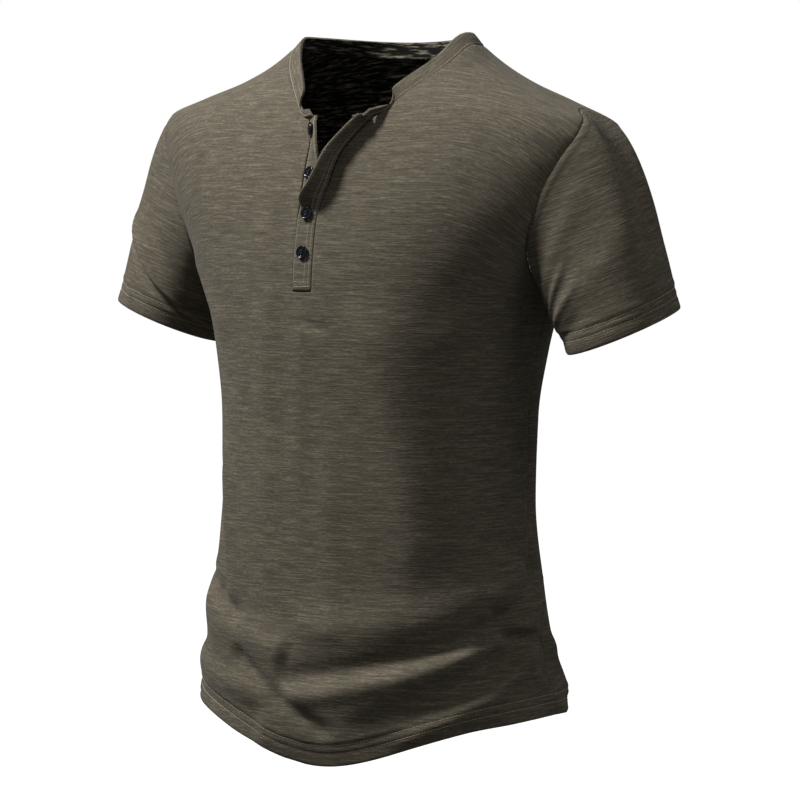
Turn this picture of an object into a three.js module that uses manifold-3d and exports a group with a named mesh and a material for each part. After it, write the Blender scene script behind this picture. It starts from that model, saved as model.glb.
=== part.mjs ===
// Henley shirt, short sleeved, standing in its worn shape with nobody inside.
// Millimetres, +Z up, the front faces -Y and the wearer's left is +X.
// The origin is on the neck's axis, level with the highest points of the shoulders.
import * as THREE from 'three';
import Manifold from 'manifold-3d';

// Cloth and seam sizes
const WALL = 1.5;
const HEM_WALL = 2.6;
const HEM_TURN = 20;
const SEAM_GAP = 0.3;
const BAND_HEIGHT = 15;
const BAND_WALL = 2.2;
const BAND_LEAN = { back: 0.42, front: 0.34, shoulder: 0.13 };
const BAND_STEP = 0.45;
const BAND_BLEND = 0.35;
const BAND_TAPER = { overlap: 0.45, underlap: 0.2 };
const STRIP_WIDTH = 20;
const STRIP_WALL = 1.6;
const OVERLAP_RISE = 0.9;
const UNDERLAP_DROP = 1.0;

// Levels on the body
const HEM_SIDE = -635;
const HEM_LOW = [
  { at: 9, drop: 43, spread: 39 },
  { at: 176, drop: 40, spread: 48 },
];
const SHOULDER_TIP = -74;
const ARMPIT = -240;
const SLIT_FOOT = ARMPIT;
const ARMHOLE = { front: 64, back: 60, egg: 0.12 };

// Seam line of the neck, seen from above: each quarter is a rounded corner between two reaches
const NECK = {
  left: { half: 102, reach: 105, round: 2.0, corner: 57 },
  right: { half: 102, reach: 102, round: 1.45, corner: -31 },
  back: { half: 102, reach: 70.5, round: 2.2 },
};

// Body sections: level, half width, reach to the front and to the back of the widest line,
// and how far that line is from the middle
const SQUARENESS = 2.25;
const SECTIONS = [
  { z: -760, half: 194, front: 166, back: 112, mid: 0 },
  { z: -700, half: 194, front: 166, back: 112, mid: 0 },
  { z: -640, half: 189, front: 161, back: 110, mid: 0 },
  { z: -580, half: 175, front: 151, back: 95, mid: 0 },
  { z: -520, half: 166, front: 146, back: 84, mid: 0 },
  { z: -440, half: 158, front: 144, back: 76, mid: 0 },
  { z: -360, half: 159, front: 141, back: 84, mid: 0 },
  { z: -300, half: 167, front: 141, back: 98, mid: 0 },
  { z: -240, half: 184, front: 140, back: 110, mid: 0 },
  { z: -215, half: 196, front: 138, back: 114, mid: 0 },
  { z: -188, half: 210, front: 134, back: 115, mid: 0 },
  { z: -160, half: 226, front: 128, back: 114, mid: 0 },
  { z: -133, half: 238, front: 120, back: 110, mid: 0 },
  { z: -110, half: 247, front: 111, back: 104, mid: 0 },
  { z: -90, half: 251, front: 100, back: 97, mid: -1 },
  { z: -75, half: 243, front: 90, back: 91, mid: -2 },
  { z: -60, half: 203, front: 79, back: 86, mid: -3 },
  { z: -45, half: 157, front: 64, back: 81, mid: -4 },
  { z: -30, half: 126, front: 47, back: 75, mid: -5 },
  { z: -15, half: 105, front: 31, back: 66, mid: -6 },
  { z: 0, half: 89, front: 20, back: 55, mid: -6 },
  { z: 14, half: 74, front: 11, back: 43, mid: -6 },
];

// The wearer's left shoulder slopes more: how far its tip sits lower, fading inward and down
const SHOULDER_SHIFT = { tip: 13, from: 90, to: 246, top: -150, foot: -270 };

// Edges of the front opening: level, then the seam's distance from the middle on each side,
// the turn of the overlap and of the underlap strip away from the chest in degrees, and the lift
// of the left front
const OPENING = [
  { z: -262, left: 10.5, right: -10.5, overTurn: 0, underTurn: 0, lift: 0 },
  { z: -190, left: 10.3, right: -10.5, overTurn: 0, underTurn: 0, lift: 0 },
  { z: -176, left: 10.5, right: -10.8, overTurn: 0, underTurn: 0, lift: 0.1 },
  { z: -165, left: 12.2, right: -11, overTurn: 2, underTurn: 0, lift: 0.2 },
  { z: -156, left: 14.6, right: -11, overTurn: 38, underTurn: 2, lift: 0.5 },
  { z: -144, left: 18.7, right: -11.5, overTurn: 70, underTurn: 9, lift: 1 },
  { z: -126, left: 23, right: -12, overTurn: 86, underTurn: 21, lift: 1.8 },
  { z: -115, left: 27, right: -12.2, overTurn: 90, underTurn: 36, lift: 2.2 },
  { z: -104, left: 34, right: -13.5, overTurn: 94, underTurn: 46, lift: 2.4 },
  { z: -90, left: 44.5, right: -18.5, overTurn: 98, underTurn: 50, lift: 2.2 },
  { z: -80, left: 52, right: -24, overTurn: 100, underTurn: 42, lift: 1.5 },
  { z: -66, left: 55.5, right: -30.5, overTurn: 102, underTurn: 32, lift: 1.2 },
  { z: -40, left: 57, right: -34, overTurn: 102, underTurn: 30, lift: 1 },
];

// Folds of the body. Each runs from girth angle a0 and level z0 to a1 and z1 and sags below the
// straight line between them. It has its own width above and below its crest and dies away over
// its own length at each end. A negative height is a trough. No width is less than FOLD_LEAST,
// which is as narrow as the solid's facets can follow. All but the angles are in millimetres.
const GIRTH_STEP = 2.6;
const FOLD_LEAST = 13;
const FOLD_COLUMNS = ['a0', 'z0', 'a1', 'z1', 'sag', 'above', 'below', 'height', 'fade0', 'fade1'];
const FOLDS = {
  overhang: [80, -508, 0, -553, 11, 20, 17, 4.5, 40, 30],
  tuck: [79, -538, -3, -600, 9, 12, 9, -6.5, 30, 16],
  'hip drape': [94, -530, -2, -616, 12, 10, 13, 7.5, 20, 40],
  'hollow under drape': [76, -560, 22, -640, 8, 10, 10, -5.5, 14, 50],
  'hem drape': [84, -576, 38, -650, 5, 10, 12, 6.5, 20, 40],
  'hip pouch': [84, -492, 72, -532, 0, 16, 10, 5.5, 24, 16],
  'side flare': [70, -566, 100, -572, 0, 8, 13, 4.5, 16, 20],
  'right hip roll': [-80, -528, -5, -576, 2, 14, 24, 7, 30, 15],
  'right hip crease': [-27, -580, 14, -645, 4, 7, 9, -5, 16, 20],
  'right hem drape': [-72, -588, -8, -614, 5, 10, 12, 4, 30, 24],
  'right waist ridge': [-46, -400, -34, -536, 4, 16, 10, 3.5, 40, 30],
  'right waist hollow': [-58, -420, -40, -530, 0, 12, 10, -3, 40, 20],
  'right side drape': [-100, -470, -60, -520, 3, 13, 12, 5, 30, 20],
  'placket fall': [-1, -264, -2, -420, 0, 12, 12, 1.8, 40, 50],
  'chest fall right': [-17, -240, -16, -440, 2, 15, 15, 2.6, 50, 60],
  'chest fall left': [25, -262, 44, -500, -9, 36, 22, 6, 60, 70],
  'belly fall': [11, -400, 14, -560, 0, 13, 13, 1.8, 50, 30],
  'left side hollow': [62, -300, 70, -470, 0, 26, 26, -3, 50, 50],
  'armpit pull right': [-66, -216, -42, -282, 3, 12, 12, 2.6, 20, 30],
  'armpit pull left': [70, -222, 52, -290, 4, 14, 14, 2.4, 20, 30],
  'back right hip drape': [-102, -490, -176, -596, 10, 9, 14, 7, 30, 40],
  'back right hollow': [-104, -474, -178, -572, 10, 12, 9, -5, 30, 40],
  'back left hip drape': [108, -512, 172, -574, 9, 9, 14, 6.5, 30, 40],
  'back left hollow': [108, -492, 172, -552, 9, 12, 9, -4.5, 30, 40],
  'back hem left': [112, -590, 152, -652, 5, 9, 13, 5, 20, 30],
  'back hem right': [-116, -584, -150, -650, 4, 9, 13, 5.5, 20, 30],
  'back spine hollow': [180, -150, 180, -500, 0, 30, 30, -4, 60, 60],
  'blade fall left': [146, -140, 150, -430, 4, 20, 20, 3.5, 50, 60],
  'blade fall right': [-148, -130, -154, -460, 4, 22, 22, 3.5, 50, 60],
  'back armpit left': [112, -226, 132, -300, 3, 13, 13, 3, 20, 30],
  'back armpit right': [-110, -224, -134, -310, 3, 14, 14, 3, 20, 30],
};

// Sleeves: each cuff's middle and half sizes, its tilt outward and its turn to the back in
// degrees, and how far the cloth runs straight off the shoulder; then the same for the armpit
const CUFFS = [
  { side: 1, x: 256, y: 8, z: -277, across: 55, deep: 61, tilt: 18, turn: 14, cap: 168 },
  { side: -1, x: 259, y: -4, z: -279, across: 55, deep: 61, tilt: 21, turn: -9, cap: 104 },
];
const CAP = { under: 40, cuffTop: 78, cuffUnder: 60, aim: 0.6, droop: -0.6 };

// Folds of the sleeves: around angle p (0 top, 90 front, 180 under, 270 back), along s from
// the armhole (0) to the cuff (1), half widths around in degrees and along in parts, height
const SLEEVE_FOLDS = [
  { side: -1, p0: 40, s0: 0.52, p1: 138, s1: 0.66, width: 0.085, height: 5 },
  { side: -1, p0: 46, s0: 0.40, p1: 142, s1: 0.50, width: 0.07, height: -4 },
  { side: -1, p0: 60, s0: 0.74, p1: 78, s1: 0.92, width: 0.06, height: 2.5 },
  { side: -1, p0: 226, s0: 0.40, p1: 310, s1: 0.62, width: 0.09, height: 4 },
  { side: -1, p0: 236, s0: 0.62, p1: 320, s1: 0.84, width: 0.07, height: -2.5 },
  { side: 1, p0: 146, s0: 0.42, p1: 70, s1: 0.24, width: 0.08, height: 3 },
  { side: 1, p0: 140, s0: 0.66, p1: 40, s1: 0.52, width: 0.10, height: 3 },
  { side: 1, p0: 150, s0: 0.84, p1: 96, s1: 0.72, width: 0.07, height: -2 },
  { side: 1, p0: 222, s0: 0.44, p1: 300, s1: 0.34, width: 0.09, height: 4 },
  { side: 1, p0: 228, s0: 0.70, p1: 316, s1: 0.60, width: 0.08, height: -3 },
];

// Buttons
const BUTTON = { radius: 6.2, rim: 1.3, back: 0, face: 1.7, rimTop: 2.5, hole: 0.85, spread: 1.55 };
const BUTTONS = [
  { name: 'button_1', strip: 'underlap', z: -94, seat: 0.9 },
  { name: 'button_2', strip: 'underlap', z: -134, seat: 0.9 },
  { name: 'button_3', strip: 'overlap', z: -170.5, seat: 0.6 },
  { name: 'button_4', strip: 'overlap', z: -205.5, seat: 0.6 },
];

// How finely the solids are cut
const GRID = { neck: 9, backNeck: 8, shoulder: 7, rows: 22, yokeRows: 13, along: 13 };

const DEG = Math.PI / 180;

// Small vector functions
const add = (a, b, k = 1) => [a[0] + b[0] * k, a[1] + b[1] * k, a[2] + b[2] * k];
const sub = (a, b) => [a[0] - b[0], a[1] - b[1], a[2] - b[2]];
const scale = (a, k) => [a[0] * k, a[1] * k, a[2] * k];
const dot = (a, b) => a[0] * b[0] + a[1] * b[1] + a[2] * b[2];
const cross = (a, b) => [a[1] * b[2] - a[2] * b[1], a[2] * b[0] - a[0] * b[2], a[0] * b[1] - a[1] * b[0]];
const length = (a) => Math.hypot(a[0], a[1], a[2]);
const unit = (a) => scale(a, 1 / (length(a) || 1));
const mix = (a, b, t) => a.map((v, i) => v + (b[i] - v) * t);
const clamp = (v, low, high) => Math.min(high, Math.max(low, v));
const ease = (t) => t * t * (3 - 2 * t);

// A smooth curve through one column of a table, which never overshoots its rows
function curve(table, column, z) {
  const at = clamp(z, table[0].z, table[table.length - 1].z);
  let k = 0;
  while (k < table.length - 2 && at >= table[k + 1].z) k += 1;
  const run = (i) => table[i + 1].z - table[i].z;
  const slope = (i) => (table[i + 1][column] - table[i][column]) / run(i);
  const tangent = (i) => {
    if (i === 0) return slope(0);
    if (i === table.length - 1) return slope(i - 1);
    const before = slope(i - 1);
    const after = slope(i);
    if (before * after <= 0) return 0;
    const w1 = 2 * run(i) + run(i - 1);
    const w2 = run(i) + 2 * run(i - 1);
    return (w1 + w2) / (w1 / before + w2 / after);
  };
  const h = run(k);
  const t = (at - table[k].z) / h;
  const from = table[k][column] * (1 + 2 * t) * (1 - t) ** 2 + table[k + 1][column] * t * t * (3 - 2 * t);
  return from + h * tangent(k) * t * (1 - t) ** 2 + h * tangent(k + 1) * t * t * (t - 1);
}

// Level of a point on the plain sections, with the shoulders' own slopes allowed for
function level(p) {
  const k = SHOULDER_SHIFT;
  const out = clamp((p[0] - k.from) / (k.to - k.from), 0, 1.3);
  const fade = ease(clamp((p[2] - k.foot) / (k.top - k.foot), 0, 1));
  return p[2] + k.tip * out ** 1.3 * fade;
}

// The plain form of the worn body: negative inside, positive outside
function form(p) {
  const z = level(p);
  const y = p[1] - curve(SECTIONS, 'mid', z);
  const half = curve(SECTIONS, 'half', z);
  const reach = curve(SECTIONS, y < 0 ? 'front' : 'back', z);
  const over = Math.max(z - 14, 0) * 0.05;
  return (Math.abs(p[0]) / half) ** SQUARENESS + (Math.abs(y) / reach) ** SQUARENESS - 1 + over;
}

// Outward direction of the plain form
function formNormal(p) {
  const e = 0.5;
  const step = (i) => form(add(p, [i === 0 ? e : 0, i === 1 ? e : 0, i === 2 ? e : 0]))
    - form(add(p, [i === 0 ? -e : 0, i === 1 ? -e : 0, i === 2 ? -e : 0]));
  return unit([step(0), step(1), step(2)]);
}

// Moves a point straight out from the body's middle line until it lies on the form
function ontoForm(p) {
  const middle = [0, 0, Math.min(p[2], ARMPIT)];
  const way = unit(sub(p, middle));
  let low = 0;
  let high = 420;
  for (let i = 0; i < 34; i += 1) {
    const half = (low + high) / 2;
    if (form(add(middle, way, half)) < 0) low = half;
    else high = half;
  }
  return add(middle, way, low);
}

// Height of the form above a point of the plan
function topOfForm(x, y) {
  let low = -200;
  let high = 14;
  for (let i = 0; i < 34; i += 1) {
    const half = (low + high) / 2;
    if (form([x, y, half]) < 0) low = half;
    else high = half;
  }
  return low;
}

// Height of one fold at a girth angle and level
function foldHeight(row, angle, z) {
  const fold = Object.fromEntries(FOLD_COLUMNS.map((name, k) => [name, row[k]]));
  const along = [(fold.a1 - fold.a0) * GIRTH_STEP, fold.z1 - fold.z0];
  const span = Math.hypot(along[0], along[1]);
  let turn = angle - fold.a0;
  if (turn > 180) turn -= 360;
  if (turn < -180) turn += 360;
  const here = [turn * GIRTH_STEP, z - fold.z0];
  const t = (here[0] * along[0] + here[1] * along[1]) / (span * span);
  const side = along[0] < 0 ? 1 : -1;
  const off = ((here[0] * along[1] - here[1] * along[0]) / span) * side;
  const up = off + fold.sag * 4 * t * (1 - t);
  const start = clamp((t * span) / fold.fade0 + 0.5, 0, 1);
  const end = clamp(((1 - t) * span) / fold.fade1 + 0.5, 0, 1);
  const width = Math.max(up > 0 ? fold.above : fold.below, FOLD_LEAST);
  return fold.height * ease(start) * ease(end) * Math.exp(-((up / width) ** 2));
}

// How far the cloth stands off the plain form
function lift(p, side) {
  const angle = Math.atan2(p[0], -p[1]) / DEG;
  let sum = 0;
  for (const row of Object.values(FOLDS)) sum += foldHeight(row, angle, p[2]);
  if (side > 0 && p[1] < 0 && p[2] > -200) {
    const away = p[0] - curve(OPENING, 'left', p[2]);
    sum += curve(OPENING, 'lift', p[2]) * Math.exp(-((away / 26) ** 2));
  }
  return sum;
}

const skinPoint = (p, side) => add(p, formNormal(p), lift(p, side));

// Outward direction of the folded cloth, the same for both pieces at a seam
function skinNormal(p, side) {
  const n = formNormal(p);
  const across = unit(cross([0, 0, 1], n));
  const up = cross(n, across);
  const h = 4;
  const t1 = sub(skinPoint(add(p, across, h), side), skinPoint(add(p, across, -h), side));
  const t2 = sub(skinPoint(add(p, up, h), side), skinPoint(add(p, up, -h), side));
  return unit(cross(t1, t2));
}

// One vertex of a wall: its outer point and the direction in which the cloth's thickness lies
const skin = (p, side) => ({ out: skinPoint(p, side), normal: skinNormal(p, side) });

// A closed sheet of cloth from a grid of vertices; cells that are null are left open
function sheetGeometry(grid, wall, closedRound = false, keep = () => true) {
  const rows = grid.length;
  const cols = grid[0].length;
  const positions = [];
  const faces = [];
  const index = grid.map((row) => row.map(() => -1));
  const use = (i, j) => {
    if (index[i][j] < 0) {
      const v = grid[i][j];
      index[i][j] = positions.length / 3;
      positions.push(...v.out, ...add(v.out, v.normal, -(v.wall || wall)));
    }
    return index[i][j];
  };
  const cellsAcross = closedRound ? cols : cols - 1;
  const has = (i, j) => {
    const jj = closedRound ? (j + cols) % cols : j;
    return i >= 0 && i < rows - 1 && jj >= 0 && jj < cellsAcross && keep(i, jj);
  };
  const quad = (a, b, c, d) => faces.push(a, b, c, a, c, d);
  for (let i = 0; i < rows - 1; i += 1) {
    for (let j = 0; j < cellsAcross; j += 1) {
      if (!has(i, j)) continue;
      const k = (j + 1) % cols;
      const a = use(i, j);
      const b = use(i, k);
      const c = use(i + 1, k);
      const d = use(i + 1, j);
      const short = length(sub(grid[i][j].out, grid[i + 1][k].out))
        <= length(sub(grid[i][k].out, grid[i + 1][j].out));
      if (short) {
        faces.push(a, b, c, a, c, d, a + 1, c + 1, b + 1, a + 1, d + 1, c + 1);
      } else {
        faces.push(b, c, d, b, d, a, b + 1, d + 1, c + 1, b + 1, a + 1, d + 1);
      }
      if (!has(i - 1, j)) quad(b, a, a + 1, b + 1);
      if (!has(i + 1, j)) quad(d, c, c + 1, d + 1);
      if (!has(i, j - 1)) quad(a, d, d + 1, a + 1);
      if (!has(i, j + 1)) quad(c, b, b + 1, c + 1);
    }
  }
  return solid(positions, faces);
}

// Makes a geometry from points and faces and turns the faces outward
function solid(positions, faces) {
  const at = (i) => positions.slice(i * 3, i * 3 + 3);
  let volume = 0;
  for (let f = 0; f < faces.length; f += 3) {
    volume += dot(at(faces[f]), cross(at(faces[f + 1]), at(faces[f + 2])));
  }
  const ordered = volume > 0 ? faces : faces.map((v, i) => faces[i - (i % 3) + [0, 2, 1][i % 3]]);
  const geometry = new THREE.BufferGeometry();
  geometry.setAttribute('position', new THREE.Float32BufferAttribute(positions, 3));
  geometry.setIndex(ordered);
  geometry.computeVertexNormals();
  return geometry;
}

// Level of the hem below a girth angle
function hemLevel(angle) {
  let z = HEM_SIDE;
  for (const low of HEM_LOW) {
    const off = ((angle - low.at + 540) % 360) - 180;
    z -= low.drop * Math.exp(-((off / low.spread) ** 2));
  }
  return z;
}

// A point of the armhole's seam; t runs from 0 at the shoulder to 1 at the armpit
function armholePoint(t, back, side) {
  const turn = Math.PI * t;
  const z = (SHOULDER_TIP + ARMPIT) / 2 + ((SHOULDER_TIP - ARMPIT) / 2) * Math.cos(turn);
  const y = ARMHOLE[back ? 'back' : 'front'] * Math.sin(turn) * (1 - ARMHOLE.egg * Math.cos(turn));
  const from = back ? y : -y;
  let low = 60;
  let high = 300;
  for (let i = 0; i < 30; i += 1) {
    const half = (low + high) / 2;
    if (form([side * half, from, z]) < 0) low = half;
    else high = half;
  }
  return [side * low, from, z];
}

// A point of the neck's seam in plan, from the side (0) towards the middle (1)
function neckPlan(part, t) {
  const turn = (t * Math.PI) / 2;
  const bend = 2 / part.round;
  return [part.half * Math.cos(turn) ** bend, part.reach * Math.sin(turn) ** bend];
}

// Evenly spaced points along a polyline
function spaced(points, count) {
  const runs = [0];
  for (let i = 1; i < points.length; i += 1) runs.push(runs[i - 1] + length(sub(points[i], points[i - 1])));
  const total = runs[runs.length - 1];
  const out = [];
  let k = 0;
  for (let i = 0; i <= count; i += 1) {
    const want = (total * i) / count;
    while (k < points.length - 2 && runs[k + 1] < want) k += 1;
    out.push(mix(points[k], points[k + 1], (want - runs[k]) / (runs[k + 1] - runs[k])));
  }
  return out;
}

// Neck seam of one quarter, from its end at the middle or at the opening out to the shoulder
function neckLine(back, side) {
  const part = back ? NECK.back : (side > 0 ? NECK.left : NECK.right);
  const fine = 240;
  const neckY = curve(SECTIONS, 'mid', 0);
  const points = [];
  for (let i = 0; i <= fine; i += 1) {
    const [x, y] = neckPlan(part, 1 - i / fine);
    const inside = back || x >= Math.abs(part.corner);
    if (inside) points.push([side * x, neckY + (back ? y : -y), 0]);
  }
  if (!back) {
    const x = Math.abs(part.corner);
    const y = part.reach * (1 - (x / part.half) ** part.round) ** (1 / part.round);
    points.unshift([side * x, neckY - y, 0]);
  }
  return points.map((p) => [p[0], p[1], topOfForm(p[0], p[1])]);
}

// Shoulder seam from the neck to the shoulder's tip
function shoulderLine(side) {
  const tip = armholePoint(0, false, side)[0];
  const start = side * NECK.left.half;
  const fine = 80;
  const neckY = curve(SECTIONS, 'mid', 0);
  const points = [];
  for (let i = 0; i <= fine; i += 1) {
    const x = start + ((tip - start) * i) / fine;
    const y = neckY * (1 - i / fine);
    points.push([x, y, topOfForm(x, y)]);
  }
  return points;
}

// Girth angle, distance from the axis and level, for blending between edges
const toRound = (p, back) => [
  Math.atan2(Math.abs(p[0]), back ? p[1] : -p[1]),
  Math.hypot(p[0], p[1]),
  p[2],
];
const fromRound = (c, back, side) => [
  side * c[1] * Math.sin(c[0]),
  (back ? 1 : -1) * c[1] * Math.cos(c[0]),
  c[2],
];

// A point of a yoke's inner edge, v from the armpit's level (0) to the neck seam (1)
function innerEdge(back, side, v, top) {
  if (v === 1) return top;
  const z = ARMPIT + (top[2] - ARMPIT) * v;
  const x = back ? 0 : curve(OPENING, side > 0 ? 'left' : 'right', z);
  return onSection(x, z, back);
}

// The point of the form at a level, a given way from the middle
function onSection(x, z, back) {
  const at = level([x, 0, z]);
  const half = curve(SECTIONS, 'half', at);
  const reach = curve(SECTIONS, back ? 'back' : 'front', at);
  const y = reach * (1 - (Math.abs(x) / half) ** SQUARENESS) ** (1 / SQUARENESS);
  return [x, curve(SECTIONS, 'mid', at) + (back ? y : -y), z];
}

// Half of a body panel as points of the plain form, bottom row first, middle column first
function panelHalf(back, side) {
  const neckCells = back ? GRID.backNeck : GRID.neck;
  const across = neckCells + GRID.shoulder;
  const rows = [];
  const turn = HEM_TURN / (ARMPIT - HEM_SIDE);
  const shares = [0];
  for (let i = 0; i < GRID.rows - 1; i += 1) shares.push(turn + ((1 - turn) * i) / (GRID.rows - 1));
  const seamX = back ? 0 : curve(OPENING, 'left', ARMPIT);
  const startAngle = Math.asin(seamX / curve(SECTIONS, 'front', ARMPIT)) / DEG;
  for (const share of shares) {
    const row = [];
    for (let j = 0; j <= across; j += 1) {
      const angle = startAngle + ((90 - startAngle) * j) / across;
      const bottom = hemLevel(side * (back ? 180 - angle : angle));
      const z = bottom + (ARMPIT - bottom) * share;
      row.push(ontoForm(fromRound([angle * DEG, 100, z], back, side)));
    }
    rows.push(row);
  }
  const top = [
    ...spaced(neckLine(back, side), neckCells),
    ...spaced(shoulderLine(side), GRID.shoulder).slice(1),
  ].map((p) => toRound(p, back));
  const foot = [];
  for (let j = 0; j <= across; j += 1) {
    const angle = startAngle + ((90 - startAngle) * j) / across;
    foot.push(toRound(ontoForm(fromRound([angle * DEG, 100, ARMPIT], back, side)), back));
  }
  const yoke = GRID.yokeRows;
  for (let i = 0; i <= yoke; i += 1) {
    const v = i / yoke;
    const inner = toRound(innerEdge(back, side, v, fromRound(top[0], back, side)), back);
    const outer = toRound(armholePoint(1 - v, back, side), back);
    const row = [];
    for (let j = 0; j <= across; j += 1) {
      const u = j / across;
      const c = [0, 1, 2].map((k) => (1 - v) * foot[j][k] + v * top[j][k] + (1 - u) * inner[k] + u * outer[k]
        - (1 - u) * (1 - v) * foot[0][k] - u * (1 - v) * foot[across][k]
        - (1 - u) * v * top[0][k] - u * v * top[across][k]);
      row.push(ontoForm(fromRound(c, back, side)));
    }
    rows.push(row);
  }
  return rows;
}

// Draws the outer ring of a panel's points in by half a seam gap
function drawIn(grid, amount, isEdge) {
  const rows = grid.length;
  const cols = grid[0].length;
  return grid.map((row, i) => row.map((p, j) => {
    let moved = p;
    const pull = (q) => { moved = add(moved, unit(sub(q, p)), amount); };
    if (j === 0) pull(grid[i][1]);
    if (j === cols - 1) pull(grid[i][cols - 2]);
    if (i === rows - 1) pull(grid[i - 1][j]);
    if (isEdge && isEdge(i, j)) pull(grid[i][j + isEdge(i, j)]);
    return moved;
  }));
}

// Front or back body panel
function bodyPanel(back) {
  const across = GRID.shoulder + (back ? GRID.backNeck : GRID.neck);
  const left = panelHalf(back, 1);
  const right = panelHalf(back, -1);
  const slitRow = GRID.rows;
  const middle = (i) => ontoForm(scale(add(left[i][0], right[i][0]), 0.5));
  const plain = left.map((row, i) => {
    const mirrored = right[i].slice().reverse();
    if (back) return [...mirrored, ...row.slice(1)];
    return [...mirrored, middle(i), ...row];
  });
  const centre = across + (back ? 0 : 1);
  const cut = (i, j) => {
    if (back || i < slitRow) return 0;
    if (j === centre - 1) return -1;
    if (j === centre + 1) return 1;
    return 0;
  };
  const drawn = drawIn(plain, SEAM_GAP / 2, cut);
  const grid = drawn.map((row, i) => row.map((p, j) => {
    const v = skin(p, j > centre ? 1 : (j < centre ? -1 : 0));
    if (i < 2) v.wall = HEM_WALL;
    return v;
  }));
  const keep = (i, j) => back || i < slitRow || j < centre - 1 || j > centre;
  return sheetGeometry(grid, WALL, false, keep);
}

// A point of a sleeve before its folds; p is the angle around and s runs from armhole to cuff
function sleeveBase(side, p, s) {
  const back = p > 180;
  const t = (back ? 360 - p : p) / 180;
  const start = armholePoint(t, back, side);
  const e = 0.01;
  const next = armholePoint(clamp(t + e, 0, 1), back, side);
  const last = armholePoint(clamp(t - e, 0, 1), back, side);
  const normal = skinNormal(start, 0);
  let off = unit(cross(normal, sub(next, last)));
  const hole = [start[0] * 0.98, 0, (SHOULDER_TIP + ARMPIT) / 2];
  if (dot(off, sub(hole, start)) < 0) off = scale(off, -1);
  const cuff = CUFFS.find((k) => k.side === side);
  const tilt = cuff.tilt * DEG;
  const axis = unit([side * Math.sin(tilt), Math.sin(cuff.turn * DEG), -Math.cos(tilt)]);
  const up = [side * Math.cos(tilt), 0, Math.sin(tilt)];
  const outward = unit(add(up, axis, -dot(up, axis)));
  let front = cross(axis, outward);
  if (front[1] > 0) front = scale(front, -1);
  const c = (1 + Math.cos(p * DEG)) / 2;
  const middle = [side * cuff.x, cuff.y, cuff.z];
  const round = add(scale(outward, cuff.across * Math.cos(p * DEG)), front, cuff.deep * Math.sin(p * DEG));
  const end = add(middle, round);
  const share = c ** CAP.aim;
  const over = unit([side, 0, CAP.droop]);
  const leave = unit(add(scale(over, share), axis, 1 - share));
  const m0 = cuff.cap * c + CAP.under * (1 - c);
  const m1 = CAP.cuffTop * c + CAP.cuffUnder * (1 - c);
  const gap = scale(unit(add(scale(off, c), normal, 1 - c)), SEAM_GAP + 0.1);
  const from = add(skinPoint(start, 0), gap);
  const h = [(1 + 2 * s) * (1 - s) ** 2, s * (1 - s) ** 2, s * s * (3 - 2 * s), s * s * (s - 1)];
  const point = add(add(add(scale(from, h[0]), leave, h[1] * m0), end, h[2]), axis, h[3] * m1);
  return { point, off };
}

// Height of the sleeve's folds
function sleeveLift(side, p, s) {
  let sum = 0;
  for (const fold of SLEEVE_FOLDS) {
    if (fold.side !== side) continue;
    const t = (p - fold.p0) / (fold.p1 - fold.p0);
    if (t < -0.3 || t > 1.3) continue;
    const off = s - (fold.s0 + (fold.s1 - fold.s0) * t);
    const ends = ease(clamp((t + 0.25) / 0.5, 0, 1)) * ease(clamp((1.25 - t) / 0.5, 0, 1));
    sum += fold.height * ends * Math.exp(-((off / fold.width) ** 2));
  }
  return sum * ease(clamp(s / 0.2, 0, 1));
}

// A sleeve: a tube of cloth from the armhole to its turned-up hem
function sleeve(side) {
  const rings = [];
  const round = 2 * GRID.yokeRows;
  const shares = [0, 0.04];
  for (let i = 1; i <= GRID.along - 2; i += 1) shares.push(0.04 + (0.86 * i) / (GRID.along - 2));
  shares.push(1);
  const point = (p, s) => {
    const q = (p + 360) % 360;
    return sleeveBase(side, q, s).point;
  };
  const normalAt = (p, s) => {
    const t1 = sub(point(p + 3, s), point(p - 3, s));
    const t2 = sub(point(p, Math.min(s + 0.02, 1)), point(p, Math.max(s - 0.02, 0)));
    const n = unit(cross(t1, t2));
    const inside = sub(point(p + 180, Math.max(s, 0.3)), point(p, Math.max(s, 0.3)));
    return dot(n, inside) > 0 ? scale(n, -1) : n;
  };
  const lifted = (p, s) => add(point(p, s), normalAt(p, s), sleeveLift(side, (p + 360) % 360, s));
  const liftedNormal = (p, s) => {
    const t1 = sub(lifted(p + 3, s), lifted(p - 3, s));
    const t2 = sub(lifted(p, Math.min(s + 0.02, 1)), lifted(p, Math.max(s - 0.02, 0)));
    const n = unit(cross(t1, t2));
    return dot(n, normalAt(p, s)) < 0 ? scale(n, -1) : n;
  };
  for (const s of shares) {
    const ring = [];
    for (let j = 0; j < round; j += 1) {
      const p = (360 * j) / round;
      let normal = liftedNormal(p, s);
      if (s === 0) {
        const { off } = sleeveBase(side, p, 0);
        normal = unit(add(normal, off, -Math.max(0, dot(normal, off))));
      }
      ring.push({ out: lifted(p, s), normal, wall: s > 0.88 ? HEM_WALL : WALL });
    }
    rings.push(ring);
  }
  return sheetGeometry(rings, WALL, true);
}

// Line of one edge of the opening, from the slit's foot to the neck, at the panel's own levels
function openingLine(side) {
  const top = neckLine(false, side)[0];
  const foot = curve(OPENING, side > 0 ? 'left' : 'right', SLIT_FOOT);
  const points = [onSection(foot, SLIT_FOOT + SEAM_GAP, false)];
  for (let i = 1; i <= GRID.yokeRows; i += 1) points.push(innerEdge(false, side, i / GRID.yokeRows, top));
  return points;
}

// The same line with more points on its straight runs
function fineOpeningLine(side, parts) {
  const line = openingLine(side);
  const out = [line[0]];
  for (let i = 1; i < line.length; i += 1) {
    for (let k = 1; k <= parts; k += 1) out.push(mix(line[i - 1], line[i], k / parts));
  }
  return out;
}

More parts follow.
